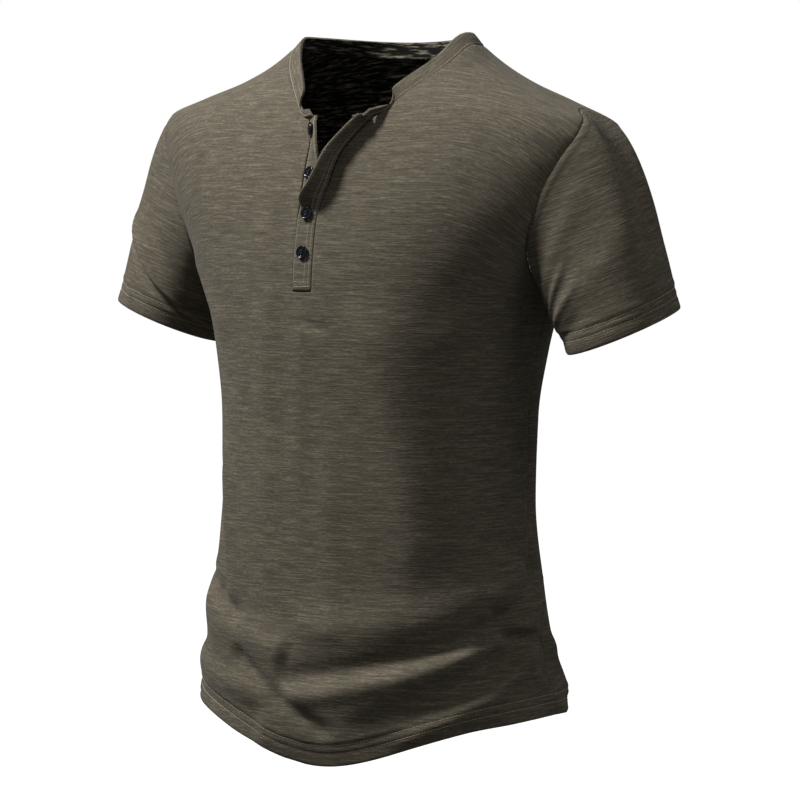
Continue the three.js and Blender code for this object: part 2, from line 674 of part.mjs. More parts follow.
// Turns a vector about an axis
function turned(v, axis, angle) {
  const along = scale(axis, dot(axis, v) * (1 - Math.cos(angle)));
  return add(add(scale(v, Math.cos(angle)), cross(axis, v), Math.sin(angle)), along);
}

// How a placket strip is held at one level: where it is sewn on, its hinge line and its turn
function stripHinge(kind, p) {
  const side = kind === 'overlap' ? 1 : -1;
  const face = skinNormal(p, side);
  const line = openingLine(side);
  let k = 0;
  while (k < line.length - 2 && line[k + 1][2] < p[2] + 0.01) k += 1;
  const up = unit(sub(line[k + 1], line[Math.max(k - 1, 0)]));
  const turn = curve(OPENING, kind === 'overlap' ? 'overTurn' : 'underTurn', p[2]);
  return { side, face, up, turn: turn * DEG };
}

// A point on a strip's outer face, u from the sewn edge (0) to the free edge (1)
function stripPoint(kind, p, u) {
  const { side, up, turn } = stripHinge(kind, p);
  const level = kind === 'overlap' ? OVERLAP_RISE : -UNDERLAP_DROP;
  const laid = (run) => {
    const q = onSection(p[0] - side * run, p[2], false);
    const n = skinNormal(q, side);
    return { point: add(skinPoint(q, side), n, level), n };
  };
  const start = laid(SEAM_GAP).point;
  const here = laid(SEAM_GAP + (STRIP_WIDTH - 2 * SEAM_GAP) * u);
  const share = kind === 'overlap' ? 0.45 + 0.55 * ease(clamp(u / 0.5, 0, 1)) : 1;
  const angle = side * turn * share;
  return { out: add(start, turned(sub(here.point, start), up, angle)), normal: turned(here.n, up, angle) };
}

const STRIP_COLS = 4;

// A placket strip
function strip(kind) {
  const line = openingLine(kind === 'overlap' ? 1 : -1);
  const grid = line.map((p) => {
    const row = [];
    for (let j = 0; j <= STRIP_COLS; j += 1) row.push(stripPoint(kind, p, j / STRIP_COLS));
    return row;
  });
  return sheetGeometry(grid, STRIP_WALL);
}

// The neckband, from the free edge of one strip round the neck to the free edge of the other
function neckband() {
  const stations = [];
  const stripTop = (side) => openingLine(side).slice(-1)[0];
  const stripUp = (side) => stripHinge(side > 0 ? 'overlap' : 'underlap', stripTop(side)).up;
  const stripEnd = (kind, side) => {
    const p = stripTop(side);
    const up = stripUp(side);
    const list = [];
    for (let j = 0; j <= STRIP_COLS; j += 1) {
      const v = stripPoint(kind, p, j / STRIP_COLS);
      const height = BAND_HEIGHT * (1 - BAND_TAPER[kind] * (j / STRIP_COLS));
      list.push({ base: v.out, up, normal: v.normal, height });
    }
    return list;
  };
  const quarter = (back, side, count) => spaced(neckLine(back, side), count).map((p, i, all) => {
    const n = skinNormal(p, back ? 0 : side);
    const before = all[Math.max(i - 1, 0)];
    const after = all[Math.min(i + 1, all.length - 1)];
    let inward = unit(cross(n, sub(after, before)));
    if (dot(inward, sub([0, 0, p[2] + 30], p)) < 0) inward = scale(inward, -1);
    const from = back ? BAND_LEAN.back : BAND_LEAN.front;
    const share = ease(clamp((i / (all.length - 1)) * 1.1, 0, 1));
    const lean = from + (BAND_LEAN.shoulder - from) * share;
    const own = add(scale(inward, Math.cos(lean)), n, Math.sin(lean));
    const near = back ? 0 : ease(clamp(1 - i / (BAND_BLEND * (all.length - 1)), 0, 1));
    const up = unit(mix(own, stripUp(side), near));
    const normal = unit(add(n, up, -dot(n, up)));
    return { base: skinPoint(p, back ? 0 : side), up, normal, height: BAND_HEIGHT };
  });
  const right = quarter(false, -1, GRID.neck);
  const left = quarter(false, 1, GRID.neck);
  const backRight = quarter(true, -1, GRID.backNeck);
  const backLeft = quarter(true, 1, GRID.backNeck);
  stations.push(...stripEnd('underlap', -1).reverse().slice(0, STRIP_COLS));
  stations.push(...right.slice(0, -1));
  stations.push(...backRight.slice(1).reverse());
  stations.push(...backLeft.slice(0, -1));
  stations.push(...left.reverse());
  stations.push(...stripEnd('overlap', 1));
  const grid = stations.map((s) => [0, 0.5, 1].map((v) => ({
    out: add(s.base, s.up, BAND_STEP + s.height * v),
    normal: s.normal,
  })));
  return sheetGeometry(grid, BAND_WALL);
}

// A button with a raised rim and four thread holes, cut with manifold
async function buttonGeometry(wasm) {
  const b = BUTTON;
  const outline = [
    [0, b.back], [b.radius - 1.0, b.back], [b.radius, b.back + 0.9], [b.radius - 0.15, b.rimTop - 0.35],
    [b.radius - 0.7, b.rimTop], [b.radius - b.rim, b.rimTop - 0.2],
    [b.radius - b.rim - 0.8, b.face], [0, b.face],
  ];
  const lathe = new THREE.LatheGeometry(outline.map(([r, h]) => new THREE.Vector2(r, h)), 20);
  let body = asManifold(wasm, lathe);
  for (let k = 0; k < 4; k += 1) {
    const hole = new THREE.CylinderGeometry(b.hole, b.hole, 8, 8);
    const turn = (k + 0.5) * (Math.PI / 2);
    hole.translate(b.spread * Math.cos(turn), 1, b.spread * Math.sin(turn));
    body = body.subtract(asManifold(wasm, hole));
  }
  const mesh = body.getMesh();
  const geometry = new THREE.BufferGeometry();
  geometry.setAttribute('position', new THREE.Float32BufferAttribute(Array.from(mesh.vertProperties), 3));
  geometry.setIndex(Array.from(mesh.triVerts));
  return geometry;
}

// Welds a three.js geometry into a manifold body
function asManifold(wasm, geometry) {
  const position = geometry.getAttribute('position');
  const keys = new Map();
  const points = [];
  const remap = [];
  for (let i = 0; i < position.count; i += 1) {
    const p = [position.getX(i), position.getY(i), position.getZ(i)];
    const key = p.map((v) => Math.round(v * 1e4)).join();
    if (!keys.has(key)) {
      keys.set(key, points.length / 3);
      points.push(...p);
    }
    remap.push(keys.get(key));
  }
  const source = geometry.index ? Array.from(geometry.index.array) : remap.map((_, i) => i);
  const tris = [];
  for (let f = 0; f < source.length; f += 3) {
    const [a, b, c] = [remap[source[f]], remap[source[f + 1]], remap[source[f + 2]]];
    if (a !== b && b !== c && c !== a) tris.push(a, b, c);
  }
  const vertProperties = new Float32Array(points);
  const triVerts = new Uint32Array(tris);
  return new wasm.Manifold(new wasm.Mesh({ numProp: 3, vertProperties, triVerts }));
}

// Places a button on the middle of its strip
function placeButton(geometry, spec) {
  const side = spec.strip === 'overlap' ? 1 : -1;
  const line = fineOpeningLine(side, 12);
  const p = line.reduce((best, q) => (Math.abs(q[2] - spec.z) < Math.abs(best[2] - spec.z) ? q : best));
  const v = stripPoint(spec.strip, p, 0.5);
  const across = stripPoint(spec.strip, p, 0.7);
  const x = unit(sub(across.out, stripPoint(spec.strip, p, 0.3).out));
  const n = unit(add(v.normal, x, -dot(v.normal, x)));
  const z = cross(x, n);
  const seat = add(v.out, n, spec.seat);
  const matrix = new THREE.Matrix4().makeBasis(
    new THREE.Vector3(...x),
    new THREE.Vector3(...n),
    new THREE.Vector3(...z),
  );
  matrix.setPosition(...seat);
  const placed = geometry.clone();
  placed.applyMatrix4(matrix);
  placed.computeVertexNormals();
  return placed;
}

const wasm = await Manifold();
wasm.setup();
const cloth = new THREE.MeshStandardMaterial({ color: 0x4b453a, roughness: 0.94, metalness: 0 });
const resin = new THREE.MeshStandardMaterial({ color: 0x12131c, roughness: 0.22, metalness: 0 });
const shirt = new THREE.Group();
shirt.name = 'henley_shirt';

function place(name, geometry, material) {
  const mesh = new THREE.Mesh(geometry, material);
  mesh.name = name;
  shirt.add(mesh);
}

place('front_panel', bodyPanel(false), cloth);
place('back_panel', bodyPanel(true), cloth);
place('sleeve_left', sleeve(1), cloth);
place('sleeve_right', sleeve(-1), cloth);
place('placket_overlap', strip('overlap'), cloth);
place('placket_underlap', strip('underlap'), cloth);
place('neckband', neckband(), cloth);
const button = await buttonGeometry(wasm);
for (const spec of BUTTONS) place(spec.name, placeButton(button, spec), resin);

export default shirt;
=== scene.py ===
# %% [markdown]
# # A henley shirt in slub jersey
# A henley is a collarless shirt with a short buttoned placket. This lesson rebuilds one as a maker
# sees it: two body panels, two sleeves, a neckband, two placket strips and four buttons, all cut
# from one knitted cloth and shown in the shape they take when worn. The CAD model holds the plain
# solids. Here each is made again with many more points, so that soft folds, seams and stitches fit.

# %% Load the frame
import math

import bpy
import numpy as np
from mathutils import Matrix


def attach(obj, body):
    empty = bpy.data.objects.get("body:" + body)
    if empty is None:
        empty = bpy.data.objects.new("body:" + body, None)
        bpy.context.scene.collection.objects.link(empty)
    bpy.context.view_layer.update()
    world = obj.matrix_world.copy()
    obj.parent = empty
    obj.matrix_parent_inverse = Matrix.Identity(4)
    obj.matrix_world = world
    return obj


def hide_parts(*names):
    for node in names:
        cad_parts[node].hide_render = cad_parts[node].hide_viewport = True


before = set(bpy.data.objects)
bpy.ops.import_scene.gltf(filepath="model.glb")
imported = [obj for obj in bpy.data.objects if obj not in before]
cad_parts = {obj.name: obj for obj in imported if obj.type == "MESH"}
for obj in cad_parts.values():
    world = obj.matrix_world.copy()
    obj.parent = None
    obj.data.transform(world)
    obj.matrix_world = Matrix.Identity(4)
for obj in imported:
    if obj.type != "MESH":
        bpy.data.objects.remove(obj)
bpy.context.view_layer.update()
MM = 0.001
print("solids:", ", ".join(sorted(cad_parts)))

# %% [markdown]
# ## Sizes of the cloth and its seams
# A pattern cutter starts from a few sizes: how thick the cloth lies, how deep the hem is turned,
# how wide the placket strips and the neckband are. Everything below is in millimetres, with the
# origin on the neck's axis level with the tops of the shoulders, +Z up and the front towards -Y.

# %% Cloth and seam sizes
WALL = 1.4
HEM_WALL = 2.5
HEM_TURN = 20
HEM_STITCHES = (12, 19.5)
SEAM_GAP = 0.3
BAND_HEIGHT = 15
BAND_WALL = 2.2
BAND_LEAN = {"back": 0.42, "front": 0.34, "shoulder": 0.13}
BAND_STEP = 0.45
BAND_BLEND = 0.2
BAND_TAPER = {"overlap": 0.35, "underlap": 0.15}
BAND_CORNER = {"overlap": 11.5, "underlap": 9.5}
STRIP_WIDTH = 20
STRIP_WALL = 1.6
STRIP_LEVEL = {"overlap": 0.9, "underlap": -0.4}
STRIP_REACH = {"overlap": (0.3, 21.4), "underlap": (-1.2, 19.7)}
HEM_SIDE = -635
HEM_LOW = [(9, 43, 39), (176, 40, 48)]
SHOULDER_TIP = -74
ARMPIT = -240
ARMHOLE = {"front": 64, "back": 60, "egg": 0.12}
NECK_HALF = 102
NECK = {
    "left": {"reach": 105, "round": 2.0, "corner": 57},
    "right": {"reach": 102, "round": 1.45, "corner": 31},
    "back": {"reach": 70.5, "round": 2.2, "corner": 0},
}
print("hem from", HEM_SIDE, "mm at the sides; shoulder tips at", SHOULDER_TIP, "mm")

# %% [markdown]
# ## The form under the cloth
# A worn shirt is a tube whose cross sections change from hem to neck. Each row below is one
# section: its level, half width, reach to the front and to the back, and how far its widest line
# is from the middle. A curve that never overshoots joins the rows, and a squared ellipse turns
# each section into a closed line. A form given by a formula can be sampled as finely as each piece
# needs, and all pieces meet exactly.

# %% Sections of the body
SECTIONS = np.array([
    (-760, 194, 166, 112, 0), (-700, 194, 166, 112, 0), (-640, 189, 161, 110, 0),
    (-580, 175, 151, 95, 0), (-520, 166, 146, 84, 0), (-440, 158, 144, 76, 0),
    (-360, 159, 141, 84, 0), (-300, 167, 141, 98, 0), (-240, 184, 140, 110, 0),
    (-215, 196, 138, 114, 0), (-188, 210, 134, 115, 0), (-160, 226, 128, 114, 0),
    (-133, 238, 120, 110, 0), (-110, 247, 111, 104, 0), (-90, 251, 100, 97, -1),
    (-75, 243, 90, 91, -2), (-60, 203, 79, 86, -3), (-45, 157, 64, 81, -4),
    (-30, 126, 47, 75, -5), (-15, 105, 31, 66, -6), (0, 89, 20, 55, -6), (14, 74, 11, 43, -6),
], float)
SQUARENESS = 2.25
TOP_LEVEL = 14
SHOULDER_SHIFT = {"tip": 13, "from": 90, "to": 246, "top": -150, "foot": -270}


def ease(t):
    """A soft step from 0 to 1."""
    t = np.clip(t, 0, 1)
    return t * t * (3 - 2 * t)


def bell(d, width):
    """A soft bump: 1 at d = 0, dying away over a width on both sides."""
    return np.exp(-((d / width) ** 2))


def smooth_curve(table, column):
    """A curve through one column of a table, over its first column, without overshoot."""
    z, value = table[:, 0], table[:, column]
    run = np.diff(z)
    slope = np.diff(value) / run
    tangent = np.zeros(len(z))
    tangent[0], tangent[-1] = slope[0], slope[-1]
    before, after = slope[:-1], slope[1:]
    w1, w2 = 2 * run[1:] + run[:-1], run[1:] + 2 * run[:-1]
    same = before * after > 0
    safe_before, safe_after = np.where(same, before, 1), np.where(same, after, 1)
    tangent[1:-1] = np.where(same, (w1 + w2) / (w1 / safe_before + w2 / safe_after), 0)

    def at(level):
        q = np.clip(level, z[0], z[-1])
        k = np.clip(np.searchsorted(z, q, side="right") - 1, 0, len(z) - 2)
        h = run[k]
        t = (q - z[k]) / h
        ends = value[k] * (1 + 2 * t) * (1 - t) ** 2 + value[k + 1] * t * t * (3 - 2 * t)
        return ends + h * tangent[k] * t * (1 - t) ** 2 + h * tangent[k + 1] * t * t * (t - 1)

    return at


half_at, front_at, back_at, middle_at = (smooth_curve(SECTIONS, k) for k in (1, 2, 3, 4))


def level_of(p):
    """Level of a point on the plain sections; the wearer's left shoulder slopes a little more."""
    k = SHOULDER_SHIFT
    out = np.clip((p[..., 0] - k["from"]) / (k["to"] - k["from"]), 0, 1.3)
    fade = ease((p[..., 2] - k["foot"]) / (k["top"] - k["foot"]))
    return p[..., 2] + k["tip"] * out ** 1.3 * fade


def form(p):
    """Negative inside the plain form, positive outside."""
    z = level_of(p)
    y = p[..., 1] - middle_at(z)
    reach = np.where(y < 0, front_at(z), back_at(z))
    bulk = (np.abs(p[..., 0]) / half_at(z)) ** SQUARENESS + (np.abs(y) / reach) ** SQUARENESS
    return bulk - 1 + np.maximum(z - TOP_LEVEL, 0) * 0.05


def unit(v):
    """Vectors of length one."""
    return v / np.maximum(np.linalg.norm(v, axis=-1, keepdims=True), 1e-12)


def facing(v, way):
    """Vectors turned round where they point against the given way."""
    return np.where(np.einsum("...i,...i", v, way)[..., None] < 0, -v, v)


def form_normal(p, e=0.5):
    """Outward direction of the plain form."""
    steps = np.eye(3) * e
    return unit(np.stack([form(p + s) - form(p - s) for s in steps], axis=-1))


def bisect(inside, low, high, steps=32):
    """Where inside() stops being true between two numbers, for many points at once."""
    for _ in range(steps):
        mid = (low + high) / 2
        yes = inside(mid)
        low, high = np.where(yes, mid, low), np.where(yes, high, mid)
    return low


def onto_form(p):
    """Moves points straight out from the body's middle line onto the form."""
    start = np.zeros_like(p)
    start[..., 2] = np.minimum(p[..., 2], ARMPIT)
    way = unit(p - start)
    zero = np.zeros(p.shape[:-1])
    run = bisect(lambda d: form(start + way * d[..., None]) < 0, zero, zero + 420)
    return start + way * run[..., None]


def on_section(x, z, back):
    """The point of the form at a level, a given way from the middle."""
    x, z = np.broadcast_arrays(np.asarray(x, float), np.asarray(z, float))
    at = level_of(np.stack([x, 0 * x, z], axis=-1))
    reach = back_at(at) if back else front_at(at)
    y = reach * (1 - (np.abs(x) / half_at(at)) ** SQUARENESS) ** (1 / SQUARENESS)
    return np.stack([x, middle_at(at) + (y if back else -y), z], axis=-1)


print("chest %d mm and waist %d mm across" % (2 * half_at(-215), 2 * half_at(-440)))

# %% [markdown]
# ## Folds
# Jersey is soft and heavy, so it breaks into a few long folds where the shirt rests on the hips and
# hangs in shallow falls from the chest. A cloth simulation would put folds somewhere of its own
# choosing, and these have their places, so each is laid one by one as a soft ridge or trough. A
# fold runs from one girth angle (0 at the front, 90 at the wearer's left) and level to another, sags
# below the straight line between them, and has its own width above and below its crest. A negative
# height is a trough. Each end dies away over its own length, so a fold may stop short and crisp.
# The folds are in the CAD model too; the creases are too small for it and are only laid here.

# %% Fold table and the folded skin
GIRTH_STEP = 2.6
FOLD_COLUMNS = ("angle0", "level0", "angle1", "level1", "sag", "above", "below", "height",
                "fade0", "fade1")
FOLDS = {
    "overhang": (80, -508, 0, -553, 11, 20, 17, 4.5, 40, 30),
    "tuck": (79, -538, -3, -600, 9, 12, 9, -6.5, 30, 26),
    "hip drape": (94, -530, -2, -616, 12, 10, 13, 7.5, 20, 40),
    "hollow under drape": (76, -560, 22, -640, 8, 10, 34, -5.5, 14, 50),
    "hem drape": (84, -576, 38, -650, 5, 10, 12, 6.5, 20, 40),
    "hip pouch": (84, -492, 72, -532, 0, 16, 10, 5.5, 24, 16),
    "side flare": (70, -566, 100, -572, 0, 8, 13, 4.5, 16, 20),
    "right hip roll": (-80, -528, -5, -576, 2, 14, 24, 7, 30, 15),
    "right hip crease": (-27, -580, 14, -645, 4, 7, 9, -5, 16, 20),
    "right hem drape": (-72, -588, -8, -614, 5, 10, 12, 4, 30, 24),
    "right waist ridge": (-46, -400, -34, -536, 4, 16, 10, 3.5, 40, 30),
    "right waist hollow": (-58, -420, -40, -530, 0, 12, 10, -3, 40, 20),
    "right side drape": (-100, -470, -60, -520, 3, 13, 12, 5, 30, 20),
    "placket fall": (-1, -264, -2, -420, 0, 12, 12, 1.8, 40, 50),
    "chest fall right": (-17, -240, -16, -440, 2, 15, 15, 2.6, 50, 60),
    "chest fall left": (25, -262, 44, -500, -9, 36, 22, 6, 60, 70),
    "belly fall": (11, -400, 14, -560, 0, 13, 13, 1.8, 50, 30),
    "left side hollow": (62, -300, 70, -470, 0, 26, 26, -3, 50, 50),
    "armpit pull right": (-66, -216, -42, -282, 3, 12, 12, 2.6, 20, 30),
    "armpit pull left": (70, -222, 52, -290, 4, 14, 14, 2.4, 20, 30),
    "back right hip drape": (-102, -490, -176, -596, 10, 9, 14, 7, 30, 40),
    "back right hollow": (-104, -474, -178, -572, 10, 12, 9, -5, 30, 40),
    "back left hip drape": (108, -512, 172, -574, 9, 9, 14, 6.5, 30, 40),
    "back left hollow": (108, -492, 172, -552, 9, 12, 9, -4.5, 30, 40),
    "back hem left": (112, -590, 152, -652, 5, 9, 13, 5, 20, 30),
    "back hem right": (-116, -584, -150, -650, 4, 9, 13, 5.5, 20, 30),
    "back spine hollow": (180, -150, 180, -500, 0, 30, 30, -4, 60, 60),
    "blade fall left": (146, -140, 150, -430, 4, 20, 20, 3.5, 50, 60),
    "blade fall right": (-148, -130, -154, -460, 4, 22, 22, 3.5, 50, 60),
    "back armpit left": (112, -226, 132, -300, 3, 13, 13, 3, 20, 30),
    "back armpit right": (-110, -224, -134, -310, 3, 14, 14, 3, 20, 30),
}
CREASES = {
    "drape pocket": (75, -551, 62, -568, 0, 5, 5, -3.5, 12, 14),
    "pouch edge hollow": (92, -500, 78, -540, 4, 8, 7, -4, 20, 16),
    "side flare hollow": (70, -556, 99, -560, 0, 6, 6, -4, 12, 16),
    "hem corner": (80, -584, 97, -640, 2, 8, 8, 3.5, 16, 8),
    "right hip hollow": (-70, -508, -28, -546, 3, 8, 8, -4, 20, 22),
    "hem tucked in": (66, -656, -20, -694, 3, 32, 60, -12.5, 40, 40),
    "hem right hollow": (-14, -640, -66, -618, 4, 13, 40, -5, 20, 20),
    "pouch rim": (90, -510, 76, -548, 0, 5, 6, 4.5, 12, 10),
    "pouch floor": (74, -552, 93, -561, -3, 5, 5, 4, 10, 14),
    "pouch shade": (72, -562, 92, -572, -3, 6, 7, -5.5, 10, 14),
    "side flare ridge": (92, -566, 107, -626, 0, 6, 6, 4, 12, 14),
    "left waist shade": (70, -470, 96, -505, 0, 12, 9, -4, 16, 20),
    "pucker at the box": (-4, -268, 12, -276, 1, 4, 4, -1.6, 10, 16),
    "pucker below the box": (1, -272, 6, -300, 0, 5, 5, 1.2, 10, 16),
}
OPENING = np.array([
    (-262, 10.5, -10.5, 0, 0, 0), (-190, 10.3, -10.5, 0, 0, 0), (-176, 10.5, -10.8, 0, 0, 0.1),
    (-165, 12.2, -11, 2, 0, 0.2), (-156, 14.6, -11, 38, 2, 0.5), (-144, 18.7, -11.5, 70, 9, 1),
    (-126, 23, -12, 86, 21, 1.8), (-115, 27, -12.2, 90, 36, 2.2), (-104, 34, -13.5, 94, 46, 2.4),
    (-90, 44.5, -18.5, 98, 50, 2.2), (-80, 52, -24, 100, 42, 1.5), (-66, 55.5, -30.5, 102, 32, 1.2),
    (-40, 57, -34, 102, 30, 1),
], float)
seam_left, seam_right, over_turn, under_turn, edge_lift = (
    smooth_curve(OPENING, k) for k in range(1, 6))
EDGE_LIFT_WIDTH = 26
EDGE_LIFT_FROM = -200


def fold_height(fold, angle, z):
    """Height of one fold at girth angles and levels."""
    f = dict(zip(FOLD_COLUMNS, fold))
    along = np.array([(f["angle1"] - f["angle0"]) * GIRTH_STEP, f["level1"] - f["level0"]])
    span = np.hypot(*along)
    turn = (angle - f["angle0"] + 180) % 360 - 180
    x, y = turn * GIRTH_STEP, z - f["level0"]
    t = (x * along[0] + y * along[1]) / span ** 2
    up = (x * along[1] - y * along[0]) / span * (1 if along[0] < 0 else -1)
    up = up + f["sag"] * 4 * t * (1 - t)
    start, end = f["fade0"] / span, f["fade1"] / span
    ends = ease(t / start + 0.5) * ease((1 - t) / end + 0.5)
    width = np.where(up > 0, f["above"], f["below"])
    return f["height"] * ends * bell(up, width)


def lift(p, side):
    """How far the cloth stands off the plain form; side is 1 on the wearer's left front."""
    angle = np.degrees(np.arctan2(p[..., 0], -p[..., 1]))
    total = sum(fold_height(fold, angle, p[..., 2]) for fold in (FOLDS | CREASES).values())
    raised = edge_lift(p[..., 2]) * bell(p[..., 0] - seam_left(p[..., 2]), EDGE_LIFT_WIDTH)
    return total + np.where((side > 0) & (p[..., 1] < 0) & (p[..., 2] > EDGE_LIFT_FROM), raised, 0)


def skin_point(p, side):
    """The outer face of the folded cloth over points of the plain form."""
    return p + form_normal(p) * lift(p, side)[..., None]


def skin_normal(p, side, h=4):
    """Outward direction of the folded cloth, the same for both pieces at a seam."""
    n = form_normal(p)
    across = unit(np.cross([0, 0, 1], n))
    up = np.cross(n, across)
    t1 = skin_point(p + across * h, side) - skin_point(p - across * h, side)
    t2 = skin_point(p + up * h, side) - skin_point(p - up * h, side)
    return unit(np.cross(t1, t2))


print(len(FOLDS), "folds and", len(CREASES), "smaller creases on the body")

# %% [markdown]
# ## From a grid of points to a piece of cloth
# Every piece starts as a grid: rows one way, columns the other. A second grid, a cloth's thickness
# further in, closes it into a thin shell. A UV map goes with it, in real millimetres along and
# across the knitted courses, for the yarn pattern. Most pieces start at a place of their own in that
# pattern, so that seams seldom join two equal streaks.

# %% Meshes
PATTERN_START = {
    "front_panel": 0, "back_panel": 2000, "sleeve_left": 12000, "sleeve_right": 4000,
    "placket_overlap": 9000, "placket_underlap": 9000, "neckband": 12000,
}


def new_mesh(name, points, faces, materials, marks=None, flat=None, uv=None):
    """An object from points in millimetres and lists of quads or triangles."""
    mesh = bpy.data.meshes.new(name)
    mesh.from_pydata((np.asarray(points) * MM).tolist(), [], faces)
    if uv is not None:
        layer = mesh.uv_layers.new(name="cloth")
        layer.data.foreach_set("uv", np.asarray(uv, np.float32).ravel())
    smooth = np.ones(len(mesh.polygons), bool) if flat is None else ~flat
    mesh.polygons.foreach_set("use_smooth", smooth)
    for material in materials:
        mesh.materials.append(material)
    if marks is not None:
        mesh.polygons.foreach_set("material_index", np.asarray(marks, np.int32))
    mesh.update()
    obj = bpy.data.objects.new(name, mesh)
    bpy.context.scene.collection.objects.link(obj)
    return obj


def cell_corners(grid):
    """The four corners of every cell of a grid, in order round the cell."""
    return np.stack([grid[:-1, :-1], grid[:-1, 1:], grid[1:, 1:], grid[1:, :-1]], axis=2)


def tube(grid):
    """A grid with its first column again at the end, so that it closes round."""
    return np.hstack([grid, grid[:, :1]])


# %% [markdown]
# A cell with no neighbour on one side needs a narrow wall there, from the outer face to the inner
# one. RIMS says, for each step to a neighbour, which two corners of the cell lie on that side.

# %% The cloth shell
RIMS = {(-1, 0): (1, 0), (1, 0): (3, 2), (0, -1): (0, 3), (0, 1): (2, 1)}


def shell(name, outer, normal, wall, uv, materials, wraps=False, keep=None):
    """A closed sheet of cloth from a grid; keep tells which cells are there."""
    rows, cols = outer.shape[:2]
    inner = outer - normal * np.broadcast_to(wall, (rows, cols))[..., None]
    points = np.concatenate([outer.reshape(-1, 3), inner.reshape(-1, 3)])
    index = np.arange(rows * cols).reshape(rows, cols)
    quads, laid = cell_corners(tube(index) if wraps else index), cell_corners(uv)
    there = np.ones(quads.shape[:2], bool) if keep is None else keep
    inside = rows * cols
    faces = [quads[there], quads[there][:, ::-1] + inside]
    uvs = [laid[there], laid[there][:, ::-1]]
    ringed = np.pad(there, 1)
    if wraps:
        ringed[:, 0], ringed[:, -1] = ringed[:, -2], ringed[:, 1]
    for (di, dj), (a, b) in RIMS.items():
        beside = ringed[1 + di:ringed.shape[0] - 1 + di, 1 + dj:ringed.shape[1] - 1 + dj]
        open_side = there & ~beside
        q = quads[open_side]
        faces.append(np.stack([q[:, a], q[:, b], q[:, b] + inside, q[:, a] + inside], axis=-1))
        uvs.append(laid[open_side][:, [a, b, b, a]])
    marks = np.repeat(np.arange(len(faces)), [len(f) for f in faces])
    joined, uvs = np.concatenate(faces), np.concatenate(uvs)
    used, compact = np.unique(joined, return_inverse=True)
    points, joined = points[used], compact.reshape(joined.shape)
    c0, c1, c2, c3 = (points[joined[:, k]] for k in range(4))
    bulk = np.einsum("ij,ij->i", c0, np.cross(c1, c2) + np.cross(c2, c3)).sum()
    if bulk < 0:
        joined, uvs = joined[:, ::-1], uvs[:, ::-1]
    # Inner faces take the second material; on the panels, sleeves and neckband that is the reverse
    # cloth in painted shade.
    reverse = (marks == 1).astype(int)
    obj = new_mesh(name + "_cloth", points, joined.tolist(), materials, reverse, marks > 1, uvs)
    print("%s: %d faces" % (name, len(joined)))
    return obj


def ride_and_stand_for(obj, node):
    """The piece rides with the shirt and stands for its solid."""
    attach(obj, "root")
    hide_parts(node)


# %% [markdown]
# ## Seam lines
# The armholes, the neck and the shoulder seams are lines on the form. A maker would chalk them on
# the pattern. Each is worked out here from its own few sizes, so that the panel, the sleeve or the
# band on either side of a seam can share the line exactly.

# %% Armhole, neck, shoulder and opening lines
def arm_seam(t, back, side):
    """The armhole's seam, t from 0 at the shoulder's tip to 1 at the armpit."""
    t = np.asarray(t, float)
    turn = np.pi * t
    z = (SHOULDER_TIP + ARMPIT) / 2 + (SHOULDER_TIP - ARMPIT) / 2 * np.cos(turn)
    y = ARMHOLE["back" if back else "front"] * np.sin(turn) * (1 - ARMHOLE["egg"] * np.cos(turn))
    y = y if back else -y
    point = lambda x: np.stack([side * x, y, z], axis=-1)
    return point(bisect(lambda x: form(point(x)) < 0, 60 + 0 * t, 300 + 0 * t))


def length_along(line):
    """Distance of each point from the start of a polyline, or of many side by side."""
    step = np.linalg.norm(np.diff(line, axis=0), axis=-1)
    return np.concatenate([0 * step[:1], np.cumsum(step, axis=0)])


def raised_to_form(x, y):
    """The points of the form's top above a line in plan."""
    point = lambda z: np.stack([x, y, z], axis=-1)
    return point(bisect(lambda z: form(point(z)) < 0, -200 + 0 * x, TOP_LEVEL + 0 * x))


def spaced(line, shares):
    """Points of a polyline at shares of its length."""
    run = length_along(line)
    return np.stack([np.interp(shares * run[-1], run, line[:, k]) for k in range(3)], axis=-1)


def neck_line(back, side, fine=240):
    """The neck's seam on one quarter, from the middle or the opening out to the shoulder."""
    part = NECK["back" if back else ("left" if side > 0 else "right")]
    turn = (1 - np.arange(fine + 1) / fine) * np.pi / 2
    bend = 2 / part["round"]
    x, y = NECK_HALF * np.cos(turn) ** bend, part["reach"] * np.sin(turn) ** bend
    if not back:
        x, y = x[x >= part["corner"]], y[x >= part["corner"]]
        x = np.concatenate([[part["corner"]], x])
        share = 1 - (part["corner"] / NECK_HALF) ** part["round"]
        y = np.concatenate([[part["reach"] * share ** (1 / part["round"])], y])
    return raised_to_form(side * x, middle_at(0) + (y if back else -y))


def shoulder_line(side, fine=80):
    """The shoulder's seam from the neck to the tip."""
    t = np.arange(fine + 1) / fine
    tip = arm_seam(0, False, side)[0]
    return raised_to_form(side * NECK_HALF + (tip - side * NECK_HALF) * t, middle_at(0) * (1 - t))


def inner_edge(back, side, v, top):
    """The inner edge of a panel's upper part: the middle line, or the opening's seam."""
    z = ARMPIT + (top[2] - ARMPIT) * v
    x = 0 * z if back else (seam_left(z) if side > 0 else seam_right(z))
    line = on_section(x, z, back)
    line[v == 1] = top
    return line


def hem_level(angle):
    """Level of the hem below a girth angle: lower in front and behind than at the sides."""
    z = HEM_SIDE + 0 * angle
    for at, drop, spread in HEM_LOW:
        off = (angle - at + 180) % 360 - 180
        z = z - drop * bell(off, spread)
    return z


print("armhole %d mm round" % (length_along(arm_seam(np.linspace(0, 1, 90), False, 1))[-1]
                              + length_along(arm_seam(np.linspace(0, 1, 90), True, 1))[-1]))

# %% [markdown]
# ## Body panels
# Front and back are each one flat piece of jersey in the cut. On the form, the lower part is a plain
# tube and the upper part is a patch between four lines: the armhole, the shoulder and neck, the
# middle or the opening, and the armpit's level. Blending those four lines is a Coons patch, the
# usual way to fill a four-sided space smoothly.

